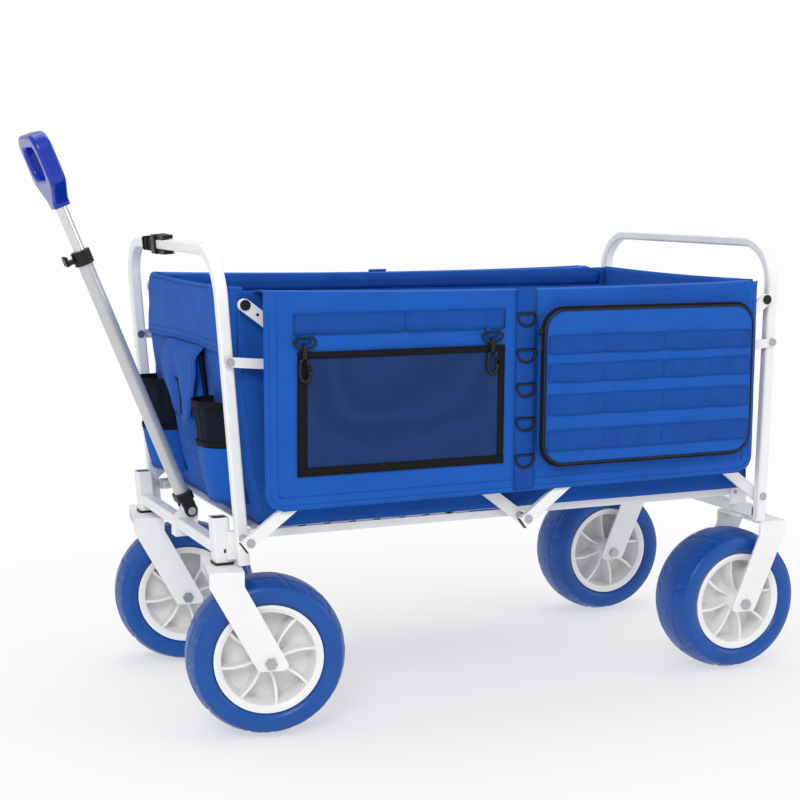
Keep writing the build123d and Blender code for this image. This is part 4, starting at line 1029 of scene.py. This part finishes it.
def make_hooks():
    for x, where in HOOKS:
        build = Builder()
        for side in SIDES:
            y = side * 319.0
            path = [(x - 15, y, 655), (x + 15, y, 655)]
            for step in range(11):
                turn = math.radians(-180 * step / 10)
                path.append((x + 19 * math.cos(turn), y, 650 + 12 * math.sin(turn)))
            build.tube(path, 2.2, True, 8)
            build.tube([(x, y, 644), (x, y, 640), (x, y, 628), (x, y, 622)], 4.6, False, 12)
            build.tube([(x, y, 637), (x, y, 634)], 6.2, False, 12)
            hook = [(-1, 624), (-7, 619), (-8.5, 608), (-8.5, 596), (-5, 588), (1, 585.5),
                    (7, 589), (9, 596), (8.5, 603)]
            build.tube([(x + a, y, z) for a, z in hook], 2.8, False, 10)
            build.tube([(x + 8.5, y, 602), (x + 5.5, y, 613), (x + 2, y, 624)], 1.9, False, 8)
            build.tube([(x + 7, y + side * 1.5, 610), (x + 9, y + side * 4.5, 612)], 2.0, False, 8)
        hook_pair = build.done("hook_pair_" + where, "black")
        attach(hook_pair, "hook_" + where)
        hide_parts("snap_hook_" + where)


def make_zip_pulls():
    build = Builder()
    x = MID + 7.5
    slider = ((-3.4, 658), (3.4, 658), (3.4, 646), (-3.4, 646))
    for side in SIDES:
        y = side * 327.5
        build.rings([[(x + a, y + side * k, z) for a, z in slider] for k in (-2.0, 2.4)])
        path = [(x - 2 + 0.5 * math.sin(k), y + side * (3.2 + 0.1 * k), 648 - 2.6 * k) for k in range(12)]
        build.tube(path, 2.0, False, 8, 0.6)
    pulls = build.done("zip_pull_tabs", "black")
    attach(pulls, "zip_pull")
    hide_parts("zip_pulls")


def make_frame_details():
    """Black plugs on the caster sleeves; the black squares on the sleeves and the black disc near each free
    link end are painted shade for the bolt holes and the spare holes.
    """
    marks = Builder()
    lean = math.tan(math.radians(4.6))
    for side in SIDES:
        loops = []
        for z in (354.0, 360.6):
            x = STEM_X - (z + 6 - 288) * lean
            loops.append([(x + a * 12.2, side * WHEEL_Y + b * 11.7, z) for a, b in SQUARE])
        marks.rings(loops)
        # black squares through the sleeve faces: painted shade standing in for the dark bolt holes
        x = STEM_X - 24 * lean
        for face in SIDES:
            y = side * WHEEL_Y + face * 13.6
            marks.rings([[(x + 4 + a * 3.2, y + face * t, 307 + b * 3.2) for a, b in SQUARE]
                         for t in (-1.0, 0.9)])
    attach(marks.done("sleeve_plugs_and_hole_shade", "black", False), "front_frame")
    # black discs on the links: painted shade standing in for the dark spare holes
    holes = Builder()
    for side in SIDES:
        holes.tube([(MID - 475.3, side * y, 690.3) for y in (273.0, 273.8)], 2.6, False, 14)
    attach(holes.done("link_spare_hole_shade", "black", False), "link_a_pair")


# ------------------------------------------------------------------ finishes on the carried-over parts
def dress_frame():
    looks = {
        "white": ("front_hoop", "front_crossbar", "caster_sleeves", "handle_bracket", "front_fork_left",
                  "front_fork_right", "rear_hoop", "rear_crossbar", "rear_forks", "link_a", "link_b",
                  "link_c", "link_d", "tie_front", "tie_rear", "floor_front", "floor_rear",
                  "slats_front", "slats_rear"),
        "zinc": ("front_bolts", "rear_bolts", "front_axle_left", "front_axle_right", "rear_axles",
                 "pins_a", "pins_d"),
        "black": ("caster_bushes", "caster_washers", "front_leg_plugs", "strap_clip", "caps_a", "caps_b",
                  "caps_c", "caps_d", "hinge_cap", "handle_collar", "collar_lever"),
        "black_web": ("buckle_strap",),
        "handle": ("handle_outer_tube",),
        "silver": ("handle_inner_tube",),
        "grip": ("grip",),
        "hub": ("rim_front_left", "rim_front_right", "rim_rear_left", "rim_rear_right"),
    }
    for look, nodes in looks.items():
        for node in nodes:
            thing = frame["nodes"][node]
            for slot in thing.material_slots:
                slot.material = MATERIALS[look]


# ------------------------------------------------------------------ the whole scene
make_camera()
make_studio()
make_side_panels()
make_mesh_pockets()
make_webbing()
make_zip_pockets()
make_front_wall()
make_rear_wall()
make_liner()
make_cup_holders()
make_flap_pocket()
make_tyres()
make_rings()
make_hooks()
make_zip_pulls()
make_frame_details()
dress_frame()
